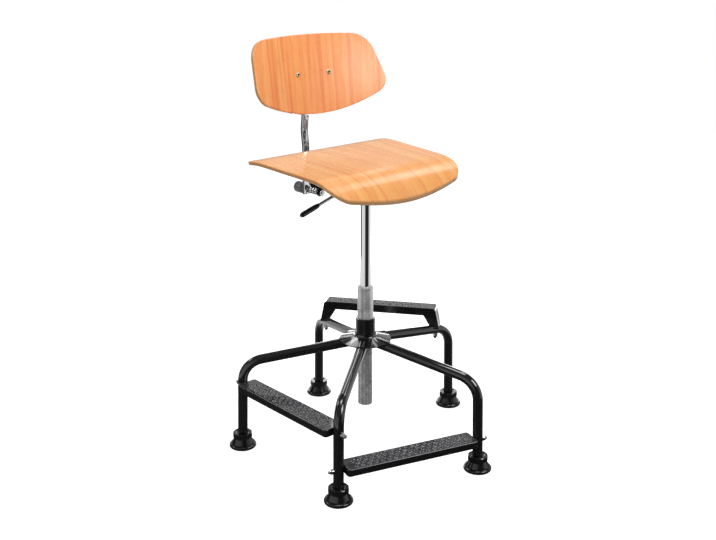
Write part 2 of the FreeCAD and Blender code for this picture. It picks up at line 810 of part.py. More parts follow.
arch_outside = extruded("arch_outside", "XZ_Plane", [
    (f"-{arch_end(ARCH_FOOT)}", ARCH_FOOT), (f"-{ARCH_INNER}", ARCH_FOOT),
    (f"-{ARCH_SPAN}", "-arch_skirt"), (ARCH_SPAN, "-arch_skirt"),
    (ARCH_INNER, ARCH_FOOT), (arch_end(ARCH_FOOT), ARCH_FOOT),
    (arch_end("0"), "0"), (f"-{arch_end('0')}", "0")], "arch_width", both_ways=True)
round_edges(arch_outside, is_crown_corner, "tread_corner")
punched_holes(arch_outside, f"{ARCH_HALF} - arch_foot_spread - hole_end_margin", 1)
hollow_foot = f"({arch_end(ARCH_FLOOR)} - sheet)"
hollow_top = f"({arch_end('-sheet')} - sheet)"
arch_inside = extruded("arch_inside", "XZ_Plane", [
    (f"-{hollow_foot}", ARCH_FLOOR), (hollow_foot, ARCH_FLOOR),
    (hollow_top, "-sheet"), (f"-{hollow_top}", "-sheet")], "arch_width - 2 * sheet", both_ways=True)
round_edges(arch_inside, is_crown_corner, "tread_corner - sheet")
arch_place = chord_frame(ARCH_FROM, "arch_reach", "arch_top")
for form in (arch_outside, arch_inside):
    form.Placement = arch_place
arch_saddles = [
    rod(f"arch_saddle_{n}", "tube_od / 2 + weld_gap", "glide_circle", arm_axis_place(n, "0"))
    for n in (ARCH_FROM, ARCH_FROM + 1)]
arch_holes = [
    rod(f"arch_bolt_{i}", BOLT_HOLE, "2 * tube_od", place) for i, place in enumerate(ARCH_BOLT_PLACES)]
doc.recompute()
keep(cut("footrest_rear_cut", arch_outside, [arch_inside] + arch_saddles + arch_holes), "footrest_rear")


# Footrest fasteners: round-head bolts with dome nuts outside the tubes.
def bolt(name, place, seat, length):
    """Head below the seat height, shank from the seat upwards."""
    body = turned(name, [
        ("0", f"{seat} - bolt_head"), ("bolt_head_od / 3", f"{seat} - bolt_head"),
        ("bolt_head_od / 2", f"{seat} - bolt_head / 3"), ("bolt_head_od / 2", seat),
        ("bolt_od / 2", seat), ("bolt_od / 2", f"{seat} + {length}"), ("0", f"{seat} + {length}")])
    body.Placement = place
    return body


def dome_nut(name, place, seat):
    """Seat face at the seat height, dome upwards, the thread bored blind."""
    bore = "bolt_od / 2 + weld_gap"
    depth = f"{seat} + nut_length * 0.7"
    body = turned(name, [
        (bore, seat), ("nut_od / 2", seat), ("nut_od / 2", f"{seat} + nut_length * 0.45"),
        ("nut_od * 0.42", f"{seat} + nut_length * 0.5"), ("nut_od * 0.36", f"{seat} + nut_length * 0.8"),
        ("nut_od * 0.2", f"{seat} + nut_length"), ("0", f"{seat} + nut_length"),
        ("0", depth), (bore, depth)])
    body.Placement = place
    return body


NUT_SEAT = "(sheet + 2 * tread_end_gap + tube_od)"
NUT_GRIP = "nut_length * 0.6"
group("footrest_bolts", [
    bolt(f"footrest_bolt_{i}", place, "0", f"({NUT_SEAT} + {NUT_GRIP})")
    for i, place in enumerate(TREAD_BOLT_PLACES)])
group("footrest_nuts", [
    dome_nut(f"footrest_nut_{i}", place, NUT_SEAT) for i, place in enumerate(TREAD_BOLT_PLACES)])


def arch_bolt(name, place):
    """A bolt from below: domed head under the arm, shank up into the foot of the arch."""
    seat = "(-tube_od / 2 - tread_end_gap)"
    reach = f"({ARCH_FLOOR} - {ARM_AXIS} - sheet)"
    body = turned(name, [
        ("0", f"{seat} - nut_length"), ("nut_od * 0.2", f"{seat} - nut_length"),
        ("nut_od * 0.36", f"{seat} - nut_length * 0.8"), ("nut_od * 0.42", f"{seat} - nut_length * 0.5"),
        ("nut_od / 2", f"{seat} - nut_length * 0.45"), ("nut_od / 2", seat),
        ("bolt_od / 2", seat), ("bolt_od / 2", reach), ("0", reach)])
    body.Placement = place
    return body


group("arch_bolts", [arch_bolt(f"arch_bolt_body_{i}", place) for i, place in enumerate(ARCH_BOLT_PLACES)])


# Seat: plywood moulded to one side profile, cut to its plan and rounded along the edge.
SEAT_FRONT = "(seat_centre - seat_depth / 2)"
SEAT_REAR = "(seat_centre + seat_depth / 2)"


def seat_line(along_y):
    """Height of the seat's flat top at a distance from the column."""
    return f"(seat_height + tan(seat_slope) * ({along_y} - seat_centre))"


FRONT_START = f"({SEAT_FRONT} + seat_flat_front)"
REAR_START = f"({SEAT_REAR} - seat_flat_rear)"


def roll_point(start, roll, depth, angle):
    """A point of a rolled edge: its arc starts square to the flat; depth goes into the ply."""
    centre_y = f"({start} + {roll} * sin(seat_slope))"
    centre_z = f"({seat_line(start)} - {roll} * cos(seat_slope))"
    radius = f"({roll} - {depth})"
    return (f"{centre_y} - {radius} * sin({angle})", f"{centre_z} + {radius} * cos({angle})")


OVERCUT = "(2 * ply_round)"
FRONT_END = (
    f"(asin(({FRONT_START} + seat_front_roll * sin(seat_slope) - {SEAT_FRONT} + {OVERCUT})"
    " / (seat_front_roll - ply)) / 1 deg)")
REAR_END = (
    f"(-asin(({SEAT_REAR} + {OVERCUT} - {REAR_START} - seat_rear_roll * sin(seat_slope))"
    " / (seat_rear_roll - ply)) / 1 deg)")


def front_roll(depth, angle):
    return roll_point(FRONT_START, "seat_front_roll", depth, angle)


def rear_roll(depth, angle):
    return roll_point(REAR_START, "seat_rear_roll", depth, angle)


FRONT_MIDDLE = f"(({FRONT_END} + seat_slope) / 2)"
REAR_MIDDLE = f"(({REAR_END} + seat_slope) / 2)"
seat_slab = extruded("seat_slab", "YZ_Plane", [
    front_roll("0", "seat_slope"), front_roll("0", FRONT_END),
    front_roll("ply", FRONT_END), front_roll("ply", "seat_slope"),
    rear_roll("ply", "seat_slope"), rear_roll("ply", REAR_END),
    rear_roll("0", REAR_END), rear_roll("0", "seat_slope")],
    "seat_rear_width + seat_front_width", both_ways=True, arcs={
        0: front_roll("0", FRONT_MIDDLE), 2: front_roll("ply", FRONT_MIDDLE),
        4: rear_roll("ply", REAR_MIDDLE), 6: rear_roll("0", REAR_MIDDLE)})
seat_plan = extruded("seat_plan", "XY_Plane", [
    ("-seat_front_width / 2", f"{SEAT_FRONT} + seat_front_bulge"),
    ("seat_front_width / 2", f"{SEAT_FRONT} + seat_front_bulge"),
    ("seat_rear_width / 2", f"{SEAT_REAR} - seat_rear_bulge"),
    ("-seat_rear_width / 2", f"{SEAT_REAR} - seat_rear_bulge")],
    "seat_height + seat_depth", arcs={0: ("0", SEAT_FRONT), 2: ("0", SEAT_REAR)})
round_edges(
    seat_plan, lambda edge: is_upright(edge) and edge.CenterOfMass.y < value("seat_centre"),
    "seat_front_corner")
round_edges(
    seat_plan, lambda edge: is_upright(edge) and edge.CenterOfMass.y > value("seat_centre"),
    "seat_rear_corner")


def moulded_ply(name, slab, plan, normal):
    """The part of a curved slab inside a plan, its rim edges rounded on both faces."""
    blank = doc.addObject("Part::Common", f"{name}_blank")
    blank.Base = slab
    blank.Tool = plan
    doc.recompute()
    side_share = 0.3
    rim = []
    for index, edge in enumerate(blank.Shape.Edges, start=1):
        shares = []
        for face in blank.Shape.ancestorsOfType(edge, Part.Face):
            u, v = face.Surface.parameter(edge.valueAt((edge.FirstParameter + edge.LastParameter) / 2))
            shares.append(abs(face.normalAt(u, v).dot(normal)))
        if len(shares) == 2 and min(shares) < side_share < max(shares):
            rim.append(index)
    radius = value("ply_round")
    rounded = doc.addObject("Part::Fillet", f"{name}_rounded")
    rounded.Base = blank
    rounded.Edges = [(index, radius, radius) for index in rim]
    doc.recompute()
    return rounded


SEAT_PLACE = Placement(
    Vector(0, value("seat_centre"), value("seat_height")),
    Rotation(Vector(1, 0, 0), value("seat_slope")))
SCREW_SIDE = value("seat_plate_width / 2 - seat_screw_inset")
PLATE_FRONT = "(seat_flat_front + seat_plate_front - seat_depth / 2)"
PLATE_REAR = "(seat_depth / 2 - seat_flat_rear - seat_plate_rear)"
SCREW_ROWS = (value(f"{PLATE_FRONT} + seat_screw_inset"), value(f"{PLATE_REAR} - seat_screw_inset"))
SEAT_SCREWS = [
    SEAT_PLACE.multiply(Placement(Vector(x, y, value("-ply - plate")), Rotation()))
    for x in (-SCREW_SIDE, SCREW_SIDE) for y in SCREW_ROWS]
SCREW_REACH = "plate + seat_screw_bite"


def screw_cutters(name):
    return [
        rod(f"{name}_hole_{i}", "seat_screw_od / 2 + weld_gap", f"{SCREW_REACH} + weld_gap", place)
        for i, place in enumerate(SEAT_SCREWS)]


seat_ply = moulded_ply("seat", seat_slab, seat_plan, Vector(0, 0, 1))
keep(cut("seat_cut", seat_ply, screw_cutters("seat")), "seat_shell")

seat_plate = extruded("seat_plate_body", "XY_Plane", box_corners(
    "-seat_plate_width / 2", "seat_plate_width / 2", PLATE_FRONT, PLATE_REAR,
    "tread_corner"), "plate")
seat_plate.Placement = SEAT_PLACE.multiply(Placement(Vector(0, 0, value("-ply - plate")), Rotation()))
keep(cut("seat_plate_cut", seat_plate, screw_cutters("seat_plate")), "seat_plate")


def seat_screw(name, place):
    head = "seat_screw_od / 2"
    body = turned(name, [
        ("0", f"-{head}"), ("seat_screw_od * 0.6", f"-{head}"), ("seat_screw_od", f"-{head} / 3"),
        ("seat_screw_od", "0"), ("seat_screw_od / 2", "0"),
        ("seat_screw_od / 2", f"{SCREW_REACH} - {head}"), ("0", SCREW_REACH)])
    body.Placement = place
    return body


group("seat_screws", [seat_screw(f"seat_screw_{i}", place) for i, place in enumerate(SEAT_SCREWS)])


# Carrier channel: an inverted trough under the seat plate with a tail for the back bar.
def plate_line(along_y, depth):
    """Height below the seat plate at a distance from the column."""
    return f"({seat_line(along_y)} - (ply + plate + {depth}) / cos(seat_slope))"


TAIL_START = f"(seat_centre + {PLATE_REAR} - seat_screw_inset)"
NECK = "(bar_line - channel_neck)"
TAIL_END = "(bar_line + channel_tail)"
TAIL_TOP = "(bar_pivot + channel_tail_height)"
channel = extruded("channel", "YZ_Plane", [
    ("-channel_front", plate_line("-channel_front", "0")),
    ("-channel_front", "channel_start + channel_neck"),
    ("-channel_front + channel_neck / 2", "channel_start"),
    ("lug_plane + 2 * plate", "channel_start"),
    (NECK, "bar_pivot - channel_tail"),
    (TAIL_END, "bar_pivot - channel_tail"),
    (TAIL_END, TAIL_TOP),
    (NECK, TAIL_TOP),
    (TAIL_START, plate_line(TAIL_START, "0"))], "channel_inside + 2 * plate", both_ways=True)
trough = new_sketch(channel, "YZ_Plane")
draw_outline(trough, [
    ("-channel_front - plate", plate_line("-channel_front - plate", "plate")),
    ("-channel_front - plate", "channel_start - plate"),
    (f"{TAIL_END} + plate", "channel_start - plate"),
    (f"{TAIL_END} + plate", f"{TAIL_TOP} + plate"),
    (NECK, f"{TAIL_TOP} + plate"),
    (NECK, f"{TAIL_TOP} - plate"),
    (TAIL_START, plate_line(TAIL_START, "plate"))])
pocket(channel, trough, "channel_inside", both_ways=True)
ACROSS = Rotation(Vector(0, 1, 0), 90)
CHANNEL_SIDE = "(channel_inside / 2 + plate)"
pin_hole = rod(
    "bar_pin_hole", "bar_pin_od / 2 + weld_gap", f"4 * {CHANNEL_SIDE}",
    Placement(Vector(-2 * value(CHANNEL_SIDE), value("bar_line"), value("bar_pivot")), ACROSS))
lever_slot = extruded("lever_slot", "YZ_Plane", box_corners(
    "-lever_rod_od / 2 - 4 * side_gap", "lever_rod_od / 2 + 4 * side_gap",
    "lever_axis - lever_slot_height * 0.6", "lever_axis + lever_slot_height * 0.4"),
    CHANNEL_SIDE)
lever_slot.Placement = Placement(Vector(-2 * value(CHANNEL_SIDE) + value("plate"), 0, 0), Rotation())
doc.recompute()
keep(cut("channel_cut", channel, [pin_hole, lever_slot]), "carrier_channel")

WELDED_HALF = "(channel_inside / 2 - weld_gap)"
socket_plate = extruded("socket_plate_body", "XY_Plane", box_corners(
    f"-{WELDED_HALF}", WELDED_HALF, "-socket_plate_length / 2", "socket_plate_length / 2"), "plate")
socket_hole = new_sketch(socket_plate, "XY_Plane")
draw_circle(socket_hole, "0", "0", "taper_socket_od / 2 + weld_gap")
pocket(socket_plate, socket_hole, "4 * plate", both_ways=True)
socket_plate.Placement = Placement(Vector(0, 0, value("channel_start")), Rotation())
keep(socket_plate, "socket_plate")
TAPER_FOOT = "lift_end - lift_taper_length"
keep(turned("taper_socket_body", [
    ("lift_od / 2 + weld_gap", TAPER_FOOT), ("taper_socket_od / 2", TAPER_FOOT),
    ("taper_socket_od / 2", "lift_end"), ("lift_taper_end_od / 2 + weld_gap", "lift_end")]), "taper_socket")


# Release lever: a rod with a tongue over the valve pin, on a pin between two lugs.
LEVER_PIVOT = Vector(-value("lever_pivot_offset"), 0, value("lever_axis"))
BACKWARDS = Rotation(Vector(1, 0, 0), -90)
LUG_INNER = "(lever_boss_width / 2 + side_gap)"
LUG_END = "(lever_boss_od / 2 - lever_pivot_offset)"
LUG_FOOT = "(lever_axis - lever_boss_od * 0.7)"
LUG_HEAD = "(lever_axis + lever_boss_od * 0.7)"
lugs = []
for side in (-1, 1):
    plate_body = extruded(f"lever_lug_{side + 2}", "XZ_Plane", [
        (f"-{WELDED_HALF}", LUG_FOOT), (LUG_END, LUG_FOOT, "lever_boss_od / 3"),
        (LUG_END, LUG_HEAD, "lever_boss_od / 3"), (f"-{WELDED_HALF}", LUG_HEAD)], "lug")
    shift = value(LUG_INNER) if side > 0 else -value(LUG_INNER)
    plate_body.Placement = Placement(Vector(0, shift + (value("lug") if side > 0 else 0), 0), Rotation())
    hole = rod(f"lever_lug_hole_{side + 2}", "lever_pin_od / 2 + weld_gap", "6 * lever_boss_width",
               Placement(LEVER_PIVOT - Vector(0, value("3 * lever_boss_width"), 0), BACKWARDS))
    doc.recompute()
    lugs.append(cut(f"lever_lug_cut_{side + 2}", plate_body, [hole]))
group("lever_lugs", lugs)
LUG_OUTER = f"({LUG_INNER} + lug)"
keep(rod("lever_pin_rod", "lever_pin_od / 2", f"2 * ({LUG_OUTER} + lug / 2)", Placement(
    LEVER_PIVOT - Vector(0, value(f"{LUG_OUTER} + lug / 2"), 0), BACKWARDS)), "lever_pin")

LEVER_RUN = Vector(value("-cos(lever_droop)"), 0, value("-sin(lever_droop)"))
boss = rod("lever_boss", "lever_boss_od / 2", "lever_boss_width", Placement(
    LEVER_PIVOT - Vector(0, value("lever_boss_width / 2"), 0), BACKWARDS))
shank = rod("lever_shank", "lever_rod_od / 2", "lever_length - grip_length / 2", Placement(
    LEVER_PIVOT, along(LEVER_RUN)))
TONGUE_FOOT = f"({VALVE_TOP} + side_gap)"
tongue = extruded("lever_tongue_body", "XZ_Plane", box_corners(
    "-lever_pivot_offset", "lever_tongue_reach", TONGUE_FOOT, f"{TONGUE_FOOT} + lever_tongue"),
    "lever_boss_width", both_ways=True)
lever_form = doc.addObject("Part::MultiFuse", "lever_form")
lever_form.Shapes = [boss, shank, tongue]
lever_bore = rod("lever_bore", "lever_pin_od / 2 + running_gap", "2 * lever_boss_width", Placement(
    LEVER_PIVOT - Vector(0, value("lever_boss_width"), 0), BACKWARDS))
doc.recompute()
keep(cut("release_lever_cut", lever_form, [lever_bore]), "release_lever")

grip = turned("lever_grip_body", [
    ("lever_rod_od / 2 + weld_gap", "0"),
    ("grip_od * 0.4", "0"),
    ("grip_od / 2", "grip_length * 0.2"),
    ("grip_od / 2", "grip_length * 0.9", "grip_od / 8"),
    ("grip_od / 3", "grip_length"),
    ("0", "grip_length"),
    ("0", "grip_length / 2 + weld_gap"),
    ("lever_rod_od / 2 + weld_gap", "grip_length / 2 + weld_gap")])
grip.Placement = Placement(LEVER_PIVOT + LEVER_RUN * value("lever_length - grip_length"), along(LEVER_RUN))
keep(grip, "lever_grip")


# Back bar: a chromed flat bar with a joggle, hung on a pin between the channel's cheeks.
bar = new_body("bar")
bar_path = new_sketch(bar, "YZ_Plane")
draw_outline(bar_path, [
    ("bar_line", "bar_start"),
    ("bar_line", "joggle_start", "bar_bend_radius"),
    ("bar_line + bar_joggle_depth", "joggle_middle", "bar_bend_radius"),
    ("bar_line", "joggle_end", "bar_bend_radius"),
    ("bar_line", "bar_end")], closed=False)
bar_section = new_sketch(bar, "XY_Plane")
draw_outline(bar_section, box_corners(
    "-bar_width / 2", "bar_width / 2", "bar_line - bar_thickness / 2", "bar_line + bar_thickness / 2",
    "bar_thickness / 4"))
bind(bar_section, **{"AttachmentOffset.Base.z": "bar_start"})
doc.recompute()
bar_pipe = bar.newObject("PartDesign::AdditivePipe", "bar_pipe")
bar_pipe.Profile = bar_section
bar_pipe.Spine = (bar_path, [f"Edge{i}" for i in range(1, len(bar_path.Shape.Edges) + 1)])
doc.recompute()
bar_eye = rod("bar_eye", "spacer_od / 2", "bar_width", Placement(
    Vector(-value("bar_width / 2"), value("bar_line"), value("bar_pivot")), ACROSS))
back_eye = rod("back_eye", "back_eye_od / 2", "bar_width", Placement(
    Vector(-value("bar_width / 2"), value("bar_line"), value("back_pin")), ACROSS))
bar_form = doc.addObject("Part::MultiFuse", "bar_form")
bar_form.Shapes = [bar, bar_eye, back_eye]
bar_pivot_bore = rod("bar_pivot_bore", "bar_pin_od / 2 + running_gap", "2 * bar_width", Placement(
    Vector(-value("bar_width"), value("bar_line"), value("bar_pivot")), ACROSS))
back_pin_bore = rod("back_pin_bore", "back_pin_od / 2 + weld_gap", "2 * bar_width", Placement(
    Vector(-value("bar_width"), value("bar_line"), value("back_pin")), ACROSS))
spindle_slot = extruded("spindle_slot_body", "XZ_Plane", box_corners(
    "-spindle_od / 2 - 4 * side_gap", "spindle_od / 2 + 4 * side_gap",
    "spindle_axis - spindle_slot / 2", "spindle_axis + spindle_slot / 2", "spindle_od / 2"),
    "4 * bar_line", both_ways=True)
doc.recompute()
keep(cut("back_bar_cut", bar_form, [bar_pivot_bore, back_pin_bore, spindle_slot]), "back_bar")
PIVOT_END = f"({CHANNEL_SIDE} + plate)"
keep(rod("bar_pin_rod", "bar_pin_od / 2", f"2 * {PIVOT_END}", Placement(
    Vector(-value(PIVOT_END), value("bar_line"), value("bar_pivot")), ACROSS)), "bar_pivot_pin")


def spacer(side):
    inner = "bar_pin_od / 2 + weld_gap"
    body = turned(f"bar_spacer_{side + 2}", [
        (inner, "bar_width / 2 + side_gap"), ("spacer_od / 2", "bar_width / 2 + side_gap"),
        ("spacer_od / 2", WELDED_HALF), (inner, WELDED_HALF)])
    body.Placement = Placement(
        Vector(0, value("bar_line"), value("bar_pivot")), Rotation(Vector(0, 1, 0), 90 * side))
    return body


group("pivot_spacers", [spacer(-1), spacer(1)])


# Spindle with its lug, the spring in front of the bar and the ribbed knob behind it.
LUG_HALF = "spindle_lug_width / 2"
LUG_ROUND = "spindle_lug_width / 2 - spindle_od / 2"
spindle_lug = extruded("spindle_lug_body", "XZ_Plane", [
    (f"-{LUG_HALF}", "spindle_axis - spindle_lug_drop", LUG_ROUND),
    (LUG_HALF, "spindle_axis - spindle_lug_drop", LUG_ROUND),
    (LUG_HALF, f"spindle_axis + {LUG_HALF}"),
    (WELDED_HALF, "channel_start"),
    (WELDED_HALF, "channel_start + 4 * plate"),
    (f"-{WELDED_HALF}", "channel_start + 4 * plate"),
    (f"-{WELDED_HALF}", "channel_start"),
    (f"-{LUG_HALF}", f"spindle_axis + {LUG_HALF}")], "plate")
spindle_hole = new_sketch(spindle_lug, "XZ_Plane")
draw_circle(spindle_hole, "0", "spindle_axis", "spindle_od / 2 + weld_gap")
pocket(spindle_lug, spindle_hole, "4 * plate", both_ways=True)
spindle_lug.Placement = Placement(Vector(0, value("lug_plane + plate"), 0), Rotation())
keep(spindle_lug, "spindle_lug")


def on_spindle(body, plane):
    """Put a turned piece on the spindle, its own axis pointing to the rear."""
    body.Placement = Placement(Vector(0, value(plane), value("spindle_axis")), BACKWARDS)
    return body


BAR_REAR = "(bar_line + bar_thickness / 2)"
WASHER_FRONT = f"({BAR_REAR} + side_gap)"
KNOB_FRONT = f"({WASHER_FRONT} + knob_washer + running_gap)"
SPINDLE_FRONT = "(lug_plane - spindle_nut - sheet)"
spindle_length = f"({KNOB_FRONT} + knob_length - 2 * knob_wall - {SPINDLE_FRONT})"
keep(on_spindle(rod("spindle_rod", "spindle_od / 2", spindle_length, Placement()), SPINDLE_FRONT), "spindle")
hole = "(spindle_od / 2 + weld_gap)"
keep(on_spindle(turned("spindle_nut_body", [
    (hole, "0"), ("spindle_nut_od / 2", "0"), ("spindle_nut_od / 2", "spindle_nut"), (hole, "spindle_nut")]),
    "lug_plane - spindle_nut"), "spindle_nut")
running = "(spindle_od / 2 + running_gap)"
keep(on_spindle(turned("knob_washer_body", [
    (running, "0"), ("knob_washer_od / 2", "0"), ("knob_washer_od / 2", "knob_washer"),
    (running, "knob_washer")]), WASHER_FRONT), "knob_washer")

knob = turned("knob_body", [
    (running, "0"),
    ("knob_od / 2 - 2 * knob_rib_depth", "0"),
    ("knob_od / 2", "2 * knob_rib_depth"),
    ("knob_od / 2", "knob_length - 2 * knob_rib_depth", "knob_rib_depth"),
    ("knob_od / 2 - 2 * knob_rib_depth", "knob_length"),
    ("0", "knob_length"),
    ("0", "knob_length - knob_wall"),
    (running, "knob_length - knob_wall")])
groove = new_sketch(knob, "XY_Plane")
draw_circle(groove, "knob_od / 2 + knob_rib_depth / 2", "0", "knob_rib_depth * 1.5")
flute = pocket(knob, groove, "4 * knob_length", both_ways=True)
flutes = knob.newObject("PartDesign::PolarPattern", "knob_flutes")
flutes.Originals = [flute]
flutes.Axis = (groove, ["N_Axis"])
flutes.Angle = 360
flutes.Occurrences = int(value("knob_rib_count"))
knob.Tip = flutes
keep(on_spindle(knob, KNOB_FRONT), "tension_knob")


def helix_point(turn, radius, lead):
    angle = 2 * math.pi * turn
    return Vector(radius * math.cos(angle), radius * math.sin(angle), lead * turn)


def helix_tangent(turn, radius, lead):
    angle = 2 * math.pi * turn
    return Vector(-radius * math.sin(angle), radius * math.cos(angle), lead / (2 * math.pi)).normalize()


def arc_from(start, tangent, end):
    """The arc that leaves the start along a tangent and reaches the end."""
    chord = end - start
    along_chord = Vector(chord).normalize()
    bend = tangent.getAngle(along_chord)
    side = (tangent - along_chord * tangent.dot(along_chord)).normalize()
    middle = (start + end) / 2 + side * (chord.Length / 2 * math.tan(bend / 2))
    return Part.Arc(start, middle, end).toShape()


def biarc(start, start_tangent, end, end_tangent):
    """Two arcs that join smoothly between two points with given tangents."""
    chord = end - start
    both = start_tangent + end_tangent
    a = both.dot(both) - 4
    b = -2 * chord.dot(both)
    reach = (-b - math.sqrt(b * b - 4 * a * chord.dot(chord))) / (2 * a)
    joint = (start + start_tangent * reach + end - end_tangent * reach) / 2
    return [arc_from(start, start_tangent, joint), arc_from(end, -end_tangent, joint)]


def coil(radius, lead, turns, wire):
    """One unbroken round wire wound about Z, from quarter-turn biarcs."""
    quarters = int(round(4 * turns))
    edges = []
    for quarter in range(quarters):
        first, last = quarter / 4, (quarter + 1) / 4
        edges += biarc(
            helix_point(first, radius, lead), helix_tangent(first, radius, lead),
            helix_point(last, radius, lead), helix_tangent(last, radius, lead))
    spine = Part.Wire(Part.__sortEdges__(edges))
    section = Part.Wire(Part.makeCircle(
        wire / 2, helix_point(0, radius, lead), helix_tangent(0, radius, lead)))
    shell = Part.BRepOffsetAPI.MakePipeShell(spine)
    shell.add(section, False, False)
    shell.build()
    shell.makeSolid()
    return shell.shape()


def least_gap(radius, lead, turns, wire):
    """Least clear distance of the wire to its own other turns, on points."""
    steps = 24
    points = [helix_point(i / steps, radius, lead) for i in range(int(turns * steps) + 1)]
    pairs = (
        points[i].distanceToPoint(points[j])
        for i in range(len(points)) for j in range(i + steps // 2, len(points)))
    return min(pairs) - wire


SPRING_FRONT = "(lug_plane + plate)"
SPRING_ROOM = f"(bar_line - bar_thickness / 2 - {SPRING_FRONT})"
spring_travel = value(f"{SPRING_ROOM} - spring_wire - weld_gap - side_gap")
spring_turns = value("spring_turns")
spring_sizes = (value("spring_mean / 2"), spring_travel / spring_turns, spring_turns, value("spring_wire"))
spring = doc.addObject("Part::Feature", "spring_coil")
spring.Shape = coil(*spring_sizes)
on_spindle(spring, f"{SPRING_FRONT} + spring_wire / 2 + weld_gap")
keep(spring, "tension_spring")
print(f"tension_spring: least gap between turns {least_gap(*spring_sizes):.2f} mm")


# Backrest: hollow moulded plywood, its bracket hinged on the top of the back bar.
BACK_PLACE = Placement(
    Vector(0, value("back_plane"), value("back_centre")),
    Rotation(Vector(1, 0, 0), -value("back_lean")))


def hollow_slab(name, depth, thickness, half_width, height):
    """A slab bent about an upright axis in front of the backrest; depth counts from the front face."""
    def bent(x_side, extra):
        share = f"(1 + ({extra}) / back_hollow_radius)"
        fall = f"(sqrt(back_hollow_radius * back_hollow_radius - ({half_width}) * ({half_width})) * {share})"
        return (f"{x_side} * ({half_width}) * {share}", f"{fall} - back_hollow_radius")
    far = f"({depth} + {thickness})"
    return extruded(name, "XY_Plane", [bent("-1", depth), bent("1", depth), bent("1", far), bent("-1", far)],
                    height, both_ways=True, arcs={0: ("0", depth), 2: ("0", far)})


back_slab = hollow_slab("back_slab", "0", "ply", "back_foot_half_width + ply", "3 * back_half_height")
back_plan = extruded("back_plan", "XZ_Plane", [
    ("-back_foot_half_width", "-back_foot_corner_height"),
    ("back_foot_half_width", "-back_foot_corner_height"),
    ("back_top_half_width", "back_top_corner_height"),
    ("-back_top_half_width", "back_top_corner_height")],
    "4 * back_half_height", both_ways=True,
    arcs={0: ("0", "-back_half_height"), 2: ("0", "back_half_height")})


def is_crosswise(edge):
    box = edge.BoundBox
    return box.YLength > 1.0 and box.XLength < 0.01 and box.ZLength < 0.01


round_edges(back_plan, lambda edge: is_crosswise(edge) and edge.CenterOfMass.z > 0, "back_top_corner")
round_edges(back_plan, lambda edge: is_crosswise(edge) and edge.CenterOfMass.z < 0, "back_foot_corner")


def back_screw_place(side):
    """On the front face, +Z square to the ply and to the rear."""
    radius = value("back_hollow_radius")
    angle = side * math.asin(value("back_screw_spacing / 2") / radius)
    direction = Vector(math.sin(angle), math.cos(angle), 0)
    return Placement(direction * radius - Vector(0, radius, 0), along(direction))


BACK_SCREWS = [back_screw_place(-1), back_screw_place(1)]
STRIP_FRONT = "(ply + weld_gap)"
STRIP_REAR = f"({STRIP_FRONT} + plate)"


def back_screw_cutters(name):
    start = Placement(Vector(0, 0, -value(STRIP_REAR)), Rotation())
    return [
        rod(f"{name}_hole_{i}", "back_screw_od / 2 + weld_gap", f"3 * {STRIP_REAR}", place.multiply(start))
        for i, place in enumerate(BACK_SCREWS)]


back_ply = moulded_ply("back", back_slab, back_plan, Vector(0, 1, 0))
back_shell = cut("backrest_cut", back_ply, back_screw_cutters("backrest"))
back_shell.Placement = BACK_PLACE
keep(back_shell, "backrest_shell")

strip = hollow_slab("bracket_strip", STRIP_FRONT, "plate", "bracket_width / 2", "bracket_height")
pivot_local = BACK_PLACE.inverse().multVec(Vector(0, value("bar_line"), value("back_pin")))
LUG_REACH = f"({pivot_local.y} + bracket_lug_round)"
bracket_lugs = []
for side in (-1, 1):
    lug_plate = extruded(f"bracket_lug_{side + 2}", "YZ_Plane", [
        (f"{STRIP_FRONT} + plate / 2", "-bracket_height / 2 + plate"),
        (LUG_REACH, f"{pivot_local.z} - bracket_lug_round", "bracket_lug_round * 0.9"),
        (LUG_REACH, f"{pivot_local.z} + bracket_lug_round", "bracket_lug_round * 0.9"),
        (f"{STRIP_FRONT} + plate / 2", "bracket_height / 2 - sheet / 2")], "lug")
    inner = value("bar_width / 2 + side_gap")
    lug_plate.Placement = Placement(Vector(inner if side > 0 else -inner - value("lug"), 0, 0), Rotation())
    bracket_lugs.append(lug_plate)
bracket_form = doc.addObject("Part::MultiFuse", "bracket_form")
bracket_form.Shapes = [strip] + bracket_lugs
pin_cutter = rod("bracket_pin_hole", "back_pin_od / 2 + running_gap", "4 * bar_width", Placement(
    pivot_local - Vector(value("2 * bar_width"), 0, 0), ACROSS))
doc.recompute()
bracket = cut("bracket_cut", bracket_form, back_screw_cutters("bracket") + [pin_cutter])
bracket.Placement = BACK_PLACE
keep(bracket, "backrest_bracket")
PIN_HALF = "(bar_width / 2 + side_gap + 2 * lug)"
keep(rod("back_pin_rod", "back_pin_od / 2", f"2 * {PIN_HALF}", Placement(
    Vector(-value(PIN_HALF), value("bar_line"), value("back_pin")), ACROSS)), "backrest_pin")


def back_screw(name, place):
    body = turned(name, [
        ("0", "-back_screw_head - weld_gap"), ("back_screw_head_od * 0.3", "-back_screw_head - weld_gap"),
        ("back_screw_head_od / 2", "-weld_gap - back_screw_head / 4"),
        ("back_screw_head_od / 2", "-weld_gap"),
        ("back_screw_od / 2", "-weld_gap"), ("back_screw_od / 2", f"{STRIP_REAR} + back_nut"),
        ("0", f"{STRIP_REAR} + back_nut")])
    body.Placement = BACK_PLACE.multiply(place)
    return body


def back_nut(name, place):
    bore = "back_screw_od / 2 + weld_gap"
    foot = f"{STRIP_REAR} + weld_gap"
    body = turned(name, [
        (bore, foot), ("back_nut_od / 2", foot), ("back_nut_od / 2", f"{foot} + back_nut"),
        (bore, f"{foot} + back_nut")])
    body.Placement = BACK_PLACE.multiply(place)
    return body


group("backrest_screws", [back_screw(f"back_screw_{i}", place) for i, place in enumerate(BACK_SCREWS)])
group("backrest_nuts", [back_nut(f"back_nut_{i}", place) for i, place in enumerate(BACK_SCREWS)])


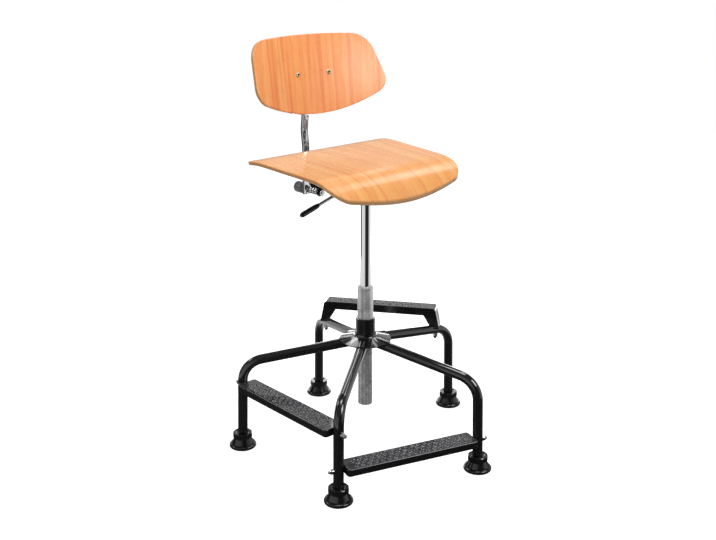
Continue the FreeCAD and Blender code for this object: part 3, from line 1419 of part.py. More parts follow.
# Every object has to be sound before anything is written.
doc.recompute()
for item in doc.Objects:
    if "Invalid" in item.State or "Error" in item.State:
        raise RuntimeError(f"{item.Name} failed: {item.State}")
for label, item in nodes.items():
    if item.Shape.isNull() or not item.Shape.isValid() or not item.Shape.Solids:
        raise RuntimeError(f"{label} has no sound shape")
os.makedirs("parts", exist_ok=True)
for label, item in nodes.items():
    item.Shape.exportStep(f"parts/{label}.step")
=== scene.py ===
import json
import math

import bpy
from mathutils import Matrix, Vector


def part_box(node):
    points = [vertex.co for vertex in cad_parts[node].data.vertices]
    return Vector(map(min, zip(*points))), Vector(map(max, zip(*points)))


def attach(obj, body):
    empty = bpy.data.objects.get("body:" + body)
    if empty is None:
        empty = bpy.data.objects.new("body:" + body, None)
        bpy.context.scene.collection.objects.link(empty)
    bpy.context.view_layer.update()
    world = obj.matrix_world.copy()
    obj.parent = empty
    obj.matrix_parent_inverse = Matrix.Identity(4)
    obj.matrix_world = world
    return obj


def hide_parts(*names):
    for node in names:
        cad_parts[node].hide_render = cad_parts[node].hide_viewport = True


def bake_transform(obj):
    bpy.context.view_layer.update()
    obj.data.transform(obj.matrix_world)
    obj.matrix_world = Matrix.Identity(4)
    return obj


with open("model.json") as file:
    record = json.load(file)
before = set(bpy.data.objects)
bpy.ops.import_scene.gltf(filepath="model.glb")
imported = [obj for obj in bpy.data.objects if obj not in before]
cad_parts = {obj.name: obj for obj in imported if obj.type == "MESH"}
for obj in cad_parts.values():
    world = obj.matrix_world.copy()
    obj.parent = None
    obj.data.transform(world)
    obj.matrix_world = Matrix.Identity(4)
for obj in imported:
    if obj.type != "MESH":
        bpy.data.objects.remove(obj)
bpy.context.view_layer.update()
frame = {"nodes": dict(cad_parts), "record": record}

nodes = frame["nodes"]

# The studio: a white cove with a paper floor, seen from the front left at standing height.
# Soft boxes hang over and behind the chair, and two wide fills stand near the camera. Reflector
# cards and dark flags, which only glossy surfaces see, draw the edges of chrome and lacquer.
CAMERA_PLACE = (-1.638, -1.767, 1.257)
CAMERA_HEADING = Vector((0.674, 0.7385))
CAMERA_PITCH = math.radians(18.14)
CAMERA_LENS = 51.28
CAMERA_SENSOR = 36

scene = bpy.context.scene
scene.view_settings.view_transform = "Standard"
lens = bpy.data.cameras.new("photo_lens")
lens.lens = CAMERA_LENS
lens.sensor_width = CAMERA_SENSOR
lens.sensor_fit = "HORIZONTAL"
camera = bpy.data.objects.new("photo_camera", lens)
scene.collection.objects.link(camera)
camera.location = CAMERA_PLACE
level = CAMERA_HEADING.normalized() * math.cos(CAMERA_PITCH)
view_line = Vector((level.x, level.y, -math.sin(CAMERA_PITCH)))
camera.rotation_euler = view_line.to_track_quat("-Z", "Y").to_euler()
scene.camera = camera

UP = (0, 0, 1)
WHITE = (1, 1, 1, 1)
ROOM_SEEN = 1.0
ROOM_AMBIENT = 0.36
ROOM_DARK_SIDE = 0.02
ROOM_DARK_HEADING = (-0.26, -0.966, 0)
ROOM_DARK_EDGE = (0.92, 0.62)
ROOM_WALL = 0.6
ROOM_WALL_TOP = (0.36, 0.52)
ROOM_CEILING = 0.16


def shader_node(tree, kind, inputs=None, **properties):
    """Add a node, set its properties, and fill its inputs from sockets or plain values."""
    node = tree.nodes.new("ShaderNode" + kind)
    for name, value in properties.items():
        setattr(node, name, value)
    for name, source in (inputs or {}).items():
        if isinstance(source, bpy.types.NodeSocket):
            tree.links.new(source, node.inputs[name])
        else:
            node.inputs[name].default_value = source
    return node


def math_node(tree, operation, *values):
    """One step of arithmetic on sockets or plain values."""
    return shader_node(tree, "Math", dict(enumerate(values)), operation=operation).outputs[0]


def blend_range(tree, value, low, high, start=0.0, end=1.0):
    """Go smoothly from start to end while a value goes from low to high."""
    return shader_node(tree, "MapRange", {
        "Value": value, "From Min": low, "From Max": high, "To Min": start, "To Max": end},
        interpolation_type="SMOOTHSTEP").outputs["Result"]


def along_heading(tree, place, heading):
    """How far a place lies along a heading."""
    return shader_node(
        tree, "VectorMath", {0: place, 1: heading}, operation="DOT_PRODUCT").outputs["Value"]


def reflected_room(tree, place, bright):
    """Brightness of the room as polished surfaces see it: a dark side, and white around it."""
    heading = shader_node(tree, "VectorMath", {0: place}, operation="NORMALIZE").outputs[0]
    facing = along_heading(tree, heading, ROOM_DARK_HEADING)
    return blend_range(tree, facing, *ROOM_DARK_EDGE, ROOM_DARK_SIDE, bright)


def polished_sight(tree, rays):
    """One where the room is seen in a polished or clear surface."""
    return math_node(tree, "MAXIMUM", rays["Is Glossy Ray"], rays["Is Transmission Ray"])


room = bpy.data.worlds.new("white_cove")
room.use_nodes = True
scene.world = room
tree = room.node_tree
tree.nodes.clear()
rays = shader_node(tree, "LightPath").outputs
direction = shader_node(tree, "TexCoord").outputs["Generated"]
wall = blend_range(tree, along_heading(tree, direction, UP), *ROOM_WALL_TOP, ROOM_WALL, ROOM_CEILING)
around = shader_node(tree, "Mix", {
    "Factor": polished_sight(tree, rays), "A": ROOM_AMBIENT, "B": reflected_room(tree, direction, wall)})
strength = shader_node(tree, "Mix", {
    "Factor": rays["Is Camera Ray"], "A": around.outputs["Result"], "B": ROOM_SEEN})
cove = shader_node(tree, "Background", {"Color": WHITE, "Strength": strength.outputs["Result"]})
shader_node(tree, "OutputWorld", {"Surface": cove.outputs[0]})

FLOOR_RADIUS = 5.0
FLOOR_TONE = (0.78, 0.78, 0.78, 1)
FLOOR_GLOW = 0.8
FLOOR_MIRRORED = 0.85
FLOOR_MIRRORED_NEAR = 0.05
FLOOR_NEAR_EDGE = (0.8, 1.4)
FLOOR_REAR_EDGE = (0.1, 0.6)
bpy.ops.object.select_all(action="DESELECT")
bpy.ops.mesh.primitive_circle_add(vertices=96, radius=FLOOR_RADIUS, fill_type="NGON")
floor = bpy.context.object
floor.name = "studio_floor"
paper = bpy.data.materials.new("floor_paper")
paper.use_nodes = True
tree = paper.node_tree
tree.nodes.clear()
rays = shader_node(tree, "LightPath").outputs
place = shader_node(tree, "TexCoord").outputs["Object"]
matt = shader_node(tree, "BsdfDiffuse", {"Color": FLOOR_TONE})
glow = shader_node(tree, "Emission", {"Strength": FLOOR_GLOW})
lit = shader_node(tree, "AddShader", {0: matt.outputs[0], 1: glow.outputs[0]})
seen = shader_node(tree, "MixShader", {0: rays["Is Camera Ray"], 1: matt.outputs[0], 2: lit.outputs[0]})
distance = shader_node(tree, "VectorMath", {0: place}, operation="LENGTH").outputs["Value"]
behind = along_heading(tree, place, (*CAMERA_HEADING, 0))
far_floor = blend_range(tree, distance, *FLOOR_NEAR_EDGE)
open_floor = math_node(tree, "MAXIMUM", far_floor, blend_range(tree, behind, *FLOOR_REAR_EDGE))
floor_light = blend_range(tree, open_floor, 0, 1, FLOOR_MIRRORED_NEAR, FLOOR_MIRRORED)
mirrored = shader_node(tree, "Emission", {"Strength": reflected_room(tree, place, floor_light)})
surface = shader_node(tree, "MixShader", {
    0: polished_sight(tree, rays), 1: seen.outputs[0], 2: mirrored.outputs[0]})
shader_node(tree, "OutputMaterial", {"Surface": surface.outputs[0]})
floor.data.materials.append(paper)

FLAG_TONE = (0.01, 0.01, 0.01, 1)
FLAGS = {
    "rear_flag": {"place": (-0.96, 1.28, 0.5), "size": (0.9, 1.0, 1), "facing": (0.64, -0.77, 0)},
    "front_flag": {"place": (0.86, -1.03, 0.8), "size": (0.35, 0.7, 1), "facing": (-0.57, 0.82, 0)}}
cloth = bpy.data.materials.new("flag_cloth")
cloth.use_nodes = True
weave = cloth.node_tree.nodes["Principled BSDF"].inputs
weave["Base Color"].default_value = FLAG_TONE
weave["Roughness"].default_value = 1
for name, hung in FLAGS.items():
    bpy.ops.object.select_all(action="DESELECT")
    bpy.ops.mesh.primitive_plane_add(size=1)
    flag = bpy.context.object
    flag.name = name
    flag.scale = hung["size"]
    flag.location = hung["place"]
    flag.rotation_euler = Vector(hung["facing"]).to_track_quat("Z", "Y").to_euler()
    flag.data.materials.append(cloth)
    for ray in ("visible_camera", "visible_diffuse", "visible_shadow"):
        setattr(flag, ray, False)


def soft_box(name, place, aim, size, power, mirrored=True, lighting=True):
    """A rectangular lamp that faces a point; without lighting it is a card for gloss alone."""
    lamp = bpy.data.lights.new(name, "AREA")
    lamp.shape = "RECTANGLE"
    lamp.size, lamp.size_y = size
    lamp.energy = power
    holder = bpy.data.objects.new(name, lamp)
    scene.collection.objects.link(holder)
    holder.location = place
    holder.rotation_euler = (Vector(aim) - Vector(place)).to_track_quat("-Z", "Y").to_euler()
    holder.visible_glossy = mirrored
    holder.visible_diffuse = lighting
    holder.visible_camera = False


soft_box("seat_box", (1.36, 0.14, 2.17), aim=(0, -0.1, 0.72), size=(0.45, 0.95), power=6.5)
soft_box("rear_box", (1.05, 1.34, 1.98), aim=(0, 0, 0.3), size=(1.1, 0.5), power=4.4)
soft_box("rear_left_box", (-1.05, 1.75, 1.8), aim=(-0.25, 0, 0.2), size=(0.6, 0.4), power=5.3)
soft_box("overhead_box", (0, -0.2, 2.8), aim=(0, 0, 0.7), size=(1.1, 1.1), power=21)
soft_box("low_card", (0.78, 0.86, 0.26), aim=(0, 0, 0.22), size=(1.8, 0.42), power=7.5, lighting=False)
soft_box("hub_card", (0.125, 0.143, 0.455), aim=(0, 0, 0.27), size=(0.18, 0.085), power=0.117, lighting=False)
soft_box("back_card", (0.8, -2.7, 2.5), aim=(0, 0.2, 0.93), size=(2.0, 1.6), power=30, lighting=False)
soft_box("left_fill", (-2.6, -0.6, 1.5), aim=(0, 0, 0.7), size=(1.6, 1.6), power=20, mirrored=False)
soft_box("right_fill", (0.8, -2.7, 2.5), aim=(0, 0, 0.8), size=(1.3, 1.3), power=25)

# Five legs of round steel tube, each bent once between a falling arm and a leaning leg.
# They are welded to the hub, degreased and stoved in a black gloss lacquer, whose film
# is a little uneven and has a fine orange-peel skin.
LACQUER_TONE = (0.0075, 0.0075, 0.0085, 1)
PIT_SHARE = 0.5
VECTOR, FLOAT, COLOUR = "NodeSocketVector", "NodeSocketFloat", "NodeSocketColor"


def shader_group(name, inputs, outputs):
    """A node group with named sockets, and its two ends."""
    group = bpy.data.node_groups.new(name, "ShaderNodeTree")
    for socket, kind in inputs.items():
        group.interface.new_socket(socket, in_out="INPUT", socket_type=kind)
    for socket, kind in outputs.items():
        group.interface.new_socket(socket, in_out="OUTPUT", socket_type=kind)
    return group, group.nodes.new("NodeGroupInput").outputs, group.nodes.new("NodeGroupOutput").inputs


def noise(tree, place, scale, detail, roughness=0.5):
    """Soft random patches, from nought to one."""
    return shader_node(tree, "TexNoise", {
        "Vector": place, "Scale": scale, "Detail": detail, "Roughness": roughness}).outputs["Fac"]


uneven_gloss, given, result = shader_group(
    "uneven_gloss", {"Place": VECTOR, "Scale": FLOAT, "Shine": FLOAT, "Dull": FLOAT}, {"Roughness": FLOAT})
cloud = noise(uneven_gloss, given["Place"], given["Scale"], detail=5.0, roughness=0.6)
wiped = shader_node(uneven_gloss, "MapRange", {
    "Value": cloud, "From Min": 0.3, "From Max": 0.7, "To Min": given["Shine"], "To Max": given["Dull"]})
uneven_gloss.links.new(wiped.outputs["Result"], result["Roughness"])

pebble_skin, given, result = shader_group(
    "pebble_skin", {"Place": VECTOR, "Scale": FLOAT}, {"Height": FLOAT})
grains = noise(pebble_skin, given["Place"], given["Scale"], detail=2.0)
pits = shader_node(pebble_skin, "TexVoronoi", {
    "Vector": given["Place"], "Scale": given["Scale"]}, feature="SMOOTH_F1")
skin = math_node(pebble_skin, "MULTIPLY_ADD", pits.outputs["Distance"], PIT_SHARE, grains)
pebble_skin.links.new(skin, result["Height"])


def new_material(name, **shader_values):
    """A material with one Principled shader: its tree, shader and Object coordinates."""
    material = bpy.data.materials.new(name)
    material.use_nodes = True
    tree = material.node_tree
    tree.nodes.clear()
    shader = shader_node(tree, "BsdfPrincipled", {
        key.replace("_", " "): value for key, value in shader_values.items()})
    shader_node(tree, "OutputMaterial", {"Surface": shader.outputs[0]})
    return material, tree, shader.inputs, shader_node(tree, "TexCoord").outputs["Object"]


def fill_group(tree, group, inputs):
    """Place a node group and fill its inputs."""
    return shader_node(tree, "Group", inputs, node_tree=group).outputs


def wiped_gloss(tree, place, scale, shine, dull):
    """A roughness that wanders between shine and dull in soft patches."""
    return fill_group(tree, uneven_gloss, {
        "Place": place, "Scale": scale, "Shine": shine, "Dull": dull})["Roughness"]


def embossed(tree, height, strength, depth):
    """A surface direction that follows a fine relief."""
    return shader_node(tree, "Bump", {
        "Height": height, "Strength": strength, "Distance": depth}).outputs["Normal"]


def dress(names, material):
    """Give solids of the frame a finish, and leave their meshes as they are."""
    for name in names:
        nodes[name].material_slots[0].material = material


lacquer, tree, shader, place = new_material(
    "black_lacquer_film", Base_Color=LACQUER_TONE, IOR=1.5, Coat_Weight=1.0, Coat_Roughness=0.03)
tree.links.new(wiped_gloss(tree, place, scale=26.0, shine=0.05, dull=0.12), shader["Roughness"])
peel = fill_group(tree, pebble_skin, {"Place": place, "Scale": 420.0})
tree.links.new(embossed(tree, peel["Height"], strength=0.05, depth=0.001), shader["Normal"])
dress([name for name in nodes if name.startswith("leg_")], lacquer)

# Five stepped glides of black moulded plastic, pressed on to the tube ends.
# The mould leaves a fine satin grain, and the floor has dulled the rims a little.
GLIDE_TONE = (0.006, 0.006, 0.007, 1)
glide_plastic, tree, shader, place = new_material(
    "glide_plastic", Base_Color=GLIDE_TONE, IOR=1.49, Coat_Weight=0.6, Coat_Roughness=0.08)
tree.links.new(wiped_gloss(tree, place, scale=60.0, shine=0.1, dull=0.2), shader["Roughness"])
grain = fill_group(tree, pebble_skin, {"Place": place, "Scale": 900.0})
tree.links.new(embossed(tree, grain["Height"], strength=0.08, depth=0.001), shader["Normal"])
dress([name for name in nodes if name.startswith("glide_")], glide_plastic)

# The hub: a heavy steel sleeve welded to the arms, under a cover pressed from sheet, with
# five ridges that follow the arms and a collar round the stand tube. Both are lacquered
# with the legs in one go.
dress(["hub_sleeve", "hub_cover"], lacquer)

# The stand tube and its guide bush: drawn steel tube, zinc plated, held in the hub's sleeve.
# Drawing leaves fine lines along the tube, and the plating is a cloudy grey. The bush is a
# pale moulded plastic sleeve in the tube's mouth.
ZINC_TONE = (0.85, 0.85, 0.84, 1)
ZINC_SHADE = (0.34, 0.34, 0.35, 1)
BUSH_TONE = (0.72, 0.71, 0.67, 1)
DRAWN_OUT = (1, 1, 0.006)
LINE_SHARE = 0.7
CLOUD_SHARE = 0.3
STREAK_EDGE = (0.35, 0.65)


def stretched(tree, place, factors):
    """A place with its axes scaled, which draws a pattern out where the factor is small."""
    return shader_node(tree, "VectorMath", {0: place, 1: factors}, operation="MULTIPLY").outputs[0]


def colour_mix(tree, share, first, second, blend_type="MIX"):
    """Two colours, mixed by the share of the second."""
    return shader_node(tree, "Mix", {"Factor": share, "A": first, "B": second},
                       data_type="RGBA", blend_type=blend_type).outputs["Result"]


drawn_lines, given, result = shader_group(
    "drawn_lines", {"Place": VECTOR, "Scale": FLOAT}, {"Height": FLOAT, "Cloud": FLOAT})
lines = noise(drawn_lines, stretched(drawn_lines, given["Place"], DRAWN_OUT), given["Scale"], detail=1.0)
patches = noise(drawn_lines, given["Place"], scale=45.0, detail=2.0)
drawn_lines.links.new(lines, result["Height"])
drawn_lines.links.new(patches, result["Cloud"])


def plated_metal(name, tone, shade, shine, dull, metallic=1.0):
    """Drawn metal with a plated skin: lines along Z, cloudy tone, uneven gloss."""
    material, tree, shader, place = new_material(name, Metallic=metallic)
    drawn = fill_group(tree, drawn_lines, {"Place": place, "Scale": 150.0})
    lined = math_node(tree, "MULTIPLY", drawn["Height"], LINE_SHARE)
    streaky = math_node(tree, "MULTIPLY_ADD", drawn["Cloud"], CLOUD_SHARE, lined)
    cloudy = colour_mix(tree, blend_range(tree, streaky, *STREAK_EDGE), shade, tone)
    tree.links.new(cloudy, shader["Base Color"])
    tree.links.new(wiped_gloss(tree, place, scale=80.0, shine=shine, dull=dull), shader["Roughness"])
    tree.links.new(embossed(tree, drawn["Height"], strength=0.1, depth=0.0012), shader["Normal"])
    return material


zinc = plated_metal("zinc_plate", ZINC_TONE, ZINC_SHADE, shine=0.24, dull=0.32, metallic=0.45)
dress(["stand_tube"], zinc)
bush_plastic, tree, shader, place = new_material("bush_plastic", Base_Color=BUSH_TONE)
tree.links.new(wiped_gloss(tree, place, scale=90.0, shine=0.3, dull=0.45), shader["Roughness"])
dress(["guide_bush"], bush_plastic)

# The gas spring: a chromed lift tube that slides in the bush on a ground steel piston rod,
# which turns on a thrust bearing at the foot of the stand tube. A spring clip holds it there.
CHROME_TONE = (0.8, 0.8, 0.81, 1)
STEEL_TONE = (0.56, 0.56, 0.57, 1)
STEEL_SHADE = (0.44, 0.44, 0.45, 1)
chrome, tree, shader, place = new_material("bright_chrome", Base_Color=CHROME_TONE, Metallic=1.0)
tree.links.new(wiped_gloss(tree, place, scale=50.0, shine=0.03, dull=0.09), shader["Roughness"])
dress(["lift_tube"], chrome)
steel = plated_metal("ground_steel", STEEL_TONE, STEEL_SHADE, shine=0.16, dull=0.3)
dress(["piston_rod", "valve_pin", "retaining_clip"], steel)
dress(["bearing_ring", "bearing_upper_washer", "bearing_lower_washer"], steel)

# Three footrests pressed from steel sheet, punched in staggered rows, bolted on and lacquered.
# The punch draws the sheet up round each hole to a low collar, which gives a shoe its grip.
# The tops are painted a patchy grey as a sheen, and the collars' crests a patchy grey as a highlight.
FOOTRESTS = ["footrest_left", "footrest_front", "footrest_rear"]
TOP_SHEEN_TONE = (0.055, 0.055, 0.06, 1)
SHEEN_PATCH_EDGE = (0.2, 0.65)
SHEEN_PATCH_ROUGHNESS = 0.14
TOP_EDGE = (0.7, 0.97)
sheened_lacquer, tree, shader, place = new_material(
    "painted_sheen_lacquer", IOR=1.5, Coat_Weight=0.6, Coat_Roughness=0.05)
facing = shader_node(tree, "NewGeometry").outputs["Normal"]
# Painted sheen: faces that look up are lightened grey in noisy patches, and made a little rougher there.
upper = blend_range(tree, along_heading(tree, facing, UP), *TOP_EDGE)
sheen_patch_noise = noise(tree, place, scale=70.0, detail=6.0, roughness=0.7)
painted_top_sheen = math_node(tree, "MULTIPLY", upper, blend_range(tree, sheen_patch_noise, *SHEEN_PATCH_EDGE))
tree.links.new(colour_mix(tree, painted_top_sheen, LACQUER_TONE, TOP_SHEEN_TONE), shader["Base Color"])
film = wiped_gloss(tree, place, scale=26.0, shine=0.05, dull=0.12)
tree.links.new(math_node(tree, "MULTIPLY_ADD", painted_top_sheen, SHEEN_PATCH_ROUGHNESS, film), shader["Roughness"])
dress(FOOTRESTS, sheened_lacquer)

HOLE_RADIUS = 0.003
COLLAR_CREST = 0.0037
COLLAR_RADIUS = 0.0047
COLLAR_HEIGHT = 0.001
COLLAR_SIDES = 12
CREST_HIGHLIGHT_TONE = (0.3, 0.3, 0.32, 1)
CREST_HIGHLIGHT_EDGE = (0.3, 0.6)
MERGE_GAP = 1e-6
TURNED_CREASE = math.radians(50)


def turned_shape(sides, profile):
    """A turned shape about Z: a ring drawn out, step by step, along (radius, height)."""
    bpy.ops.object.select_all(action="DESELECT")
    bpy.ops.mesh.primitive_circle_add(vertices=sides, radius=profile[0][0], fill_type="NOTHING")
    bpy.ops.object.mode_set(mode="EDIT")
    bpy.ops.mesh.select_all(action="SELECT")
    bpy.ops.transform.translate(value=(0, 0, profile[0][1]))
    for (radius, height), (next_radius, next_height) in zip(profile, profile[1:]):
        bpy.ops.mesh.extrude_region_move(TRANSFORM_OT_translate={"value": (0, 0, next_height - height)})
        growth = next_radius / radius
        bpy.ops.transform.resize(value=(growth, growth, 1), center_override=(0, 0, 0))
    bpy.ops.mesh.select_all(action="SELECT")
    bpy.ops.mesh.remove_doubles(threshold=MERGE_GAP)
    bpy.ops.mesh.fill_holes(sides=0)
    bpy.ops.mesh.select_all(action="SELECT")
    bpy.ops.mesh.normals_make_consistent(inside=False)
    bpy.ops.object.mode_set(mode="OBJECT")
    bpy.ops.object.shade_smooth_by_angle(angle=TURNED_CREASE)
    return bpy.context.object


collar = turned_shape(COLLAR_SIDES, [
    (HOLE_RADIUS, 0), (HOLE_RADIUS, COLLAR_HEIGHT), (COLLAR_CREST, COLLAR_HEIGHT), (COLLAR_RADIUS, 0),
    (HOLE_RADIUS, 0)])
# Painted highlight: the collars' crests are coloured grey in patches for the light they catch.
crest, tree, shader, place = new_material("collar_painted_highlight", Metallic=0.4, Roughness=0.35)
painted_crest_highlight = blend_range(tree, noise(tree, place, scale=160.0, detail=3.0), *CREST_HIGHLIGHT_EDGE)
tree.links.new(colour_mix(tree, painted_crest_highlight, LACQUER_TONE, CREST_HIGHLIGHT_TONE), shader["Base Color"])
collar.data.materials.append(crest)

MICROMETRES = 6
TOP_SLACK = 1e-5
RIM_REACH = 2.1 * HOLE_RADIUS
RIM_SLACK = 0.1


def hole_centres(node):
    """Centres of the punched holes, found from their rims on the flat top of a footrest."""
    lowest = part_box(node)[1][2] - TOP_SLACK
    corners = [corner.co for corner in nodes[node].data.vertices]
    rim_points = {corner.to_tuple(MICROMETRES) for corner in corners if corner.z > lowest}
    rims = []
    for point in sorted(rim_points):
        near = next((rim for rim in rims if math.dist(rim[0], point) < RIM_REACH), None)
        if near is None:
            rims.append([point])
        else:
            near.append(point)
    for rim in rims:
        centre = sum((Vector(point) for point in rim), Vector()) / len(rim)
        if all(abs(math.dist(centre, point) / HOLE_RADIUS - 1) < RIM_SLACK for point in rim):
            yield centre


def spread(shape, name, places):
    """Copies of a shape at given places, joined to one piece."""
    bpy.ops.object.select_all(action="DESELECT")
    for place in places:
        copy = bpy.data.objects.new(name, shape.data.copy())
        copy.data.transform(place)
        scene.collection.objects.link(copy)
        copy.select_set(True)
        bpy.context.view_layer.objects.active = copy
    bpy.ops.object.join()
    piece = bpy.context.object
    piece.name = name
    return piece


for node in FOOTRESTS:
    collars = spread(collar, f"{node}_collars", [Matrix.Translation(centre) for centre in hole_centres(node)])
    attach(collars, "base")
bpy.data.objects.remove(collar)

# Bolts and dome nuts that hold the footrests to the legs and arms. They are steel, plated
# with bright zinc, and go through the tubes.
BRIGHT_TONE = (0.74, 0.74, 0.73, 1)
BRIGHT_SHADE = (0.6, 0.6, 0.59, 1)
bright_zinc = plated_metal("bright_zinc", BRIGHT_TONE, BRIGHT_SHADE, shine=0.12, dull=0.24)
dress(["footrest_bolts", "footrest_nuts", "arch_bolts"], bright_zinc)

# The carrier under the seat: steel plates, folded and welded and lacquered black, on a taper
# socket that sits on the lift tube. Its screws, pins, spacers and the spindle for the spring
# are plated with bright zinc.
dress(["taper_socket", "socket_plate", "carrier_channel", "seat_plate", "lever_lugs", "spindle_lug"], lacquer)
dress(["seat_screws", "lever_pin", "bar_pivot_pin", "pivot_spacers", "spindle", "spindle_nut"], bright_zinc)

# The seat: seven beech veneers glued crosswise and moulded to a rolled front and rear edge.
# The rim is rounded and shows its plies, clear lacquer covers all of it, and screws from
# below hold it to the seat plate.
VENEER_PALE = (0.93, 0.52, 0.18, 1)
VENEER_MID = (0.91, 0.43, 0.13, 1)
VENEER_DARK = (0.81, 0.31, 0.08, 1)
VENEER_PINK = (0.94, 0.45, 0.18, 1)
VENEER_LINE = (0.76, 0.24, 0.055, 1)
VENEER_RED = (0.88, 0.3, 0.11, 1)
GRAIN_SWAY = (0.03, 0, 0)
GRAIN_LENGTH = (1, 0.07, 1)
FLECK_LENGTH = (1, 0.16, 1)
FLECK_EDGE = (0.63, 0.72)
FLECK_SHARE = 0.35
FLECK_DEPTH = -0.6
CATHEDRAL_SHARE = 0.42
BAND_SHARE = 0.75
STREAK_SHARE = 0.45
TONE_SHIFT = 0.3
PALE_AT = 0.12
MID_AT = 0.5
DARK_AT = 0.92

beech_figure, given, result = shader_group(
    "beech_figure", {"Grain": VECTOR, "Figure": FLOAT}, {"Colour": COLOUR, "Height": FLOAT})
drift = shader_node(beech_figure, "TexNoise", {
    "Vector": given["Grain"], "Scale": 6.0, "Detail": 2.0, "Roughness": 0.5})
swayed = shader_node(beech_figure, "VectorMath", {
    0: drift.outputs["Color"], 1: GRAIN_SWAY, 2: given["Grain"]}, operation="MULTIPLY_ADD")
long_grain = stretched(beech_figure, swayed.outputs[0], GRAIN_LENGTH)
bands = noise(beech_figure, long_grain, scale=34.0, detail=3.0, roughness=0.55)
streaks = noise(beech_figure, long_grain, scale=190.0, detail=4.0, roughness=0.6)
cathedral = shader_node(beech_figure, "TexWave", {
    "Vector": long_grain, "Scale": given["Figure"], "Distortion": 7.0, "Detail": 2.0,
    "Detail Scale": 1.4, "Detail Roughness": 0.55}, wave_type="BANDS", bands_direction="X",
    wave_profile="SAW").outputs["Fac"]
fleck_noise = noise(
    beech_figure, stretched(beech_figure, given["Grain"], FLECK_LENGTH), scale=1500.0, detail=1.0)
flecks = blend_range(beech_figure, fleck_noise, *FLECK_EDGE)
tone = math_node(beech_figure, "MULTIPLY", cathedral, CATHEDRAL_SHARE)
tone = math_node(beech_figure, "MULTIPLY_ADD", bands, BAND_SHARE, tone)
tone = math_node(beech_figure, "MULTIPLY_ADD", streaks, STREAK_SHARE, tone)
figure = shader_node(beech_figure, "ValToRGB", {"Fac": math_node(beech_figure, "SUBTRACT", tone, TONE_SHIFT)})
ramp = figure.color_ramp.elements
ramp[0].position = PALE_AT
ramp[0].color = VENEER_PALE
ramp[1].position = DARK_AT
ramp[1].color = VENEER_DARK
ramp.new(MID_AT).color = VENEER_MID
blush = shader_node(beech_figure, "MapRange", {
    "Value": noise(beech_figure, long_grain, scale=11.0, detail=1.0),
    "From Min": 0.45, "From Max": 0.75, "To Max": 0.6}).outputs["Result"]
blushed = colour_mix(beech_figure, blush, figure.outputs[0], VENEER_PINK)
fleck_share = math_node(beech_figure, "MULTIPLY", flecks, FLECK_SHARE)
flecked = colour_mix(beech_figure, fleck_share, blushed, VENEER_DARK)


def grain_marks(grain, stretch, scale, low, high, share):
    """Marks drawn out along the grain: long lines where the stretch is small."""
    marks = noise(beech_figure, stretched(beech_figure, grain, (1, stretch, 1)), scale, detail=2.0)
    return math_node(beech_figure, "MULTIPLY", blend_range(beech_figure, marks, low, high), share)


long_lines = grain_marks(given["Grain"], stretch=0.015, scale=95.0, low=0.52, high=0.68, share=0.7)
red_marks = grain_marks(given["Grain"], stretch=0.12, scale=130.0, low=0.6, high=0.74, share=0.7)
lined = colour_mix(beech_figure, long_lines, flecked, VENEER_LINE)
beech_figure.links.new(colour_mix(beech_figure, red_marks, lined, VENEER_RED), result["Colour"])
relief = math_node(beech_figure, "MULTIPLY_ADD", flecks, FLECK_DEPTH, streaks)
beech_figure.links.new(relief, result["Height"])

PLY = 0.010
PLY_COUNT = 7
EDGE_PALE = (0.62, 0.36, 0.16, 1)
EDGE_DARK = (0.4, 0.2, 0.08, 1)
EDGE_GLUE = (0.1, 0.04, 0.018, 1)
FIBRE_SHARE = 0.5
GLUE_SHARE = 0.1
EDGE_FIRST_LAYER = 1.6
EDGE_LAST_LAYER = PLY_COUNT - 0.7
ply_edge, given, result = shader_group("ply_edge", {"Grain": VECTOR}, {"Colour": COLOUR, "Edge": FLOAT})
through = shader_node(ply_edge, "SeparateXYZ", {0: given["Grain"]}).outputs["Z"]
layers = math_node(ply_edge, "MULTIPLY", through, PLY_COUNT / PLY)
crossed = math_node(ply_edge, "FLOOR", math_node(ply_edge, "MODULO", layers, 2.0))
fibres = noise(ply_edge, given["Grain"], scale=900.0, detail=3.0)
fibre_share = math_node(ply_edge, "MULTIPLY", fibres, FIBRE_SHARE)
wood = colour_mix(ply_edge, crossed, EDGE_PALE, EDGE_DARK)
wood = colour_mix(ply_edge, fibre_share, wood, EDGE_DARK)
joint = math_node(ply_edge, "LESS_THAN", math_node(ply_edge, "FRACT", layers), GLUE_SHARE)
ply_edge.links.new(colour_mix(ply_edge, joint, wood, EDGE_GLUE), result["Colour"])
inner = math_node(ply_edge, "GREATER_THAN", layers, EDGE_FIRST_LAYER)
outer = math_node(ply_edge, "LESS_THAN", layers, EDGE_LAST_LAYER)
ply_edge.links.new(math_node(ply_edge, "MULTIPLY", inner, outer), result["Edge"])

# Painted reflection: seen in polished surfaces, the veneer is coloured near black, so chrome and lacquer
# mirror it dark.
VENEER_STAIN = (1.0, 0.78, 0.78, 1)
VENEER_PAINTED_DARK_REFLECTION = (0.1, 0.1, 0.1, 1)
PAINTED_DARK_REFLECTION_SHARE = 0.95
SOLID_CREASE = math.radians(40)


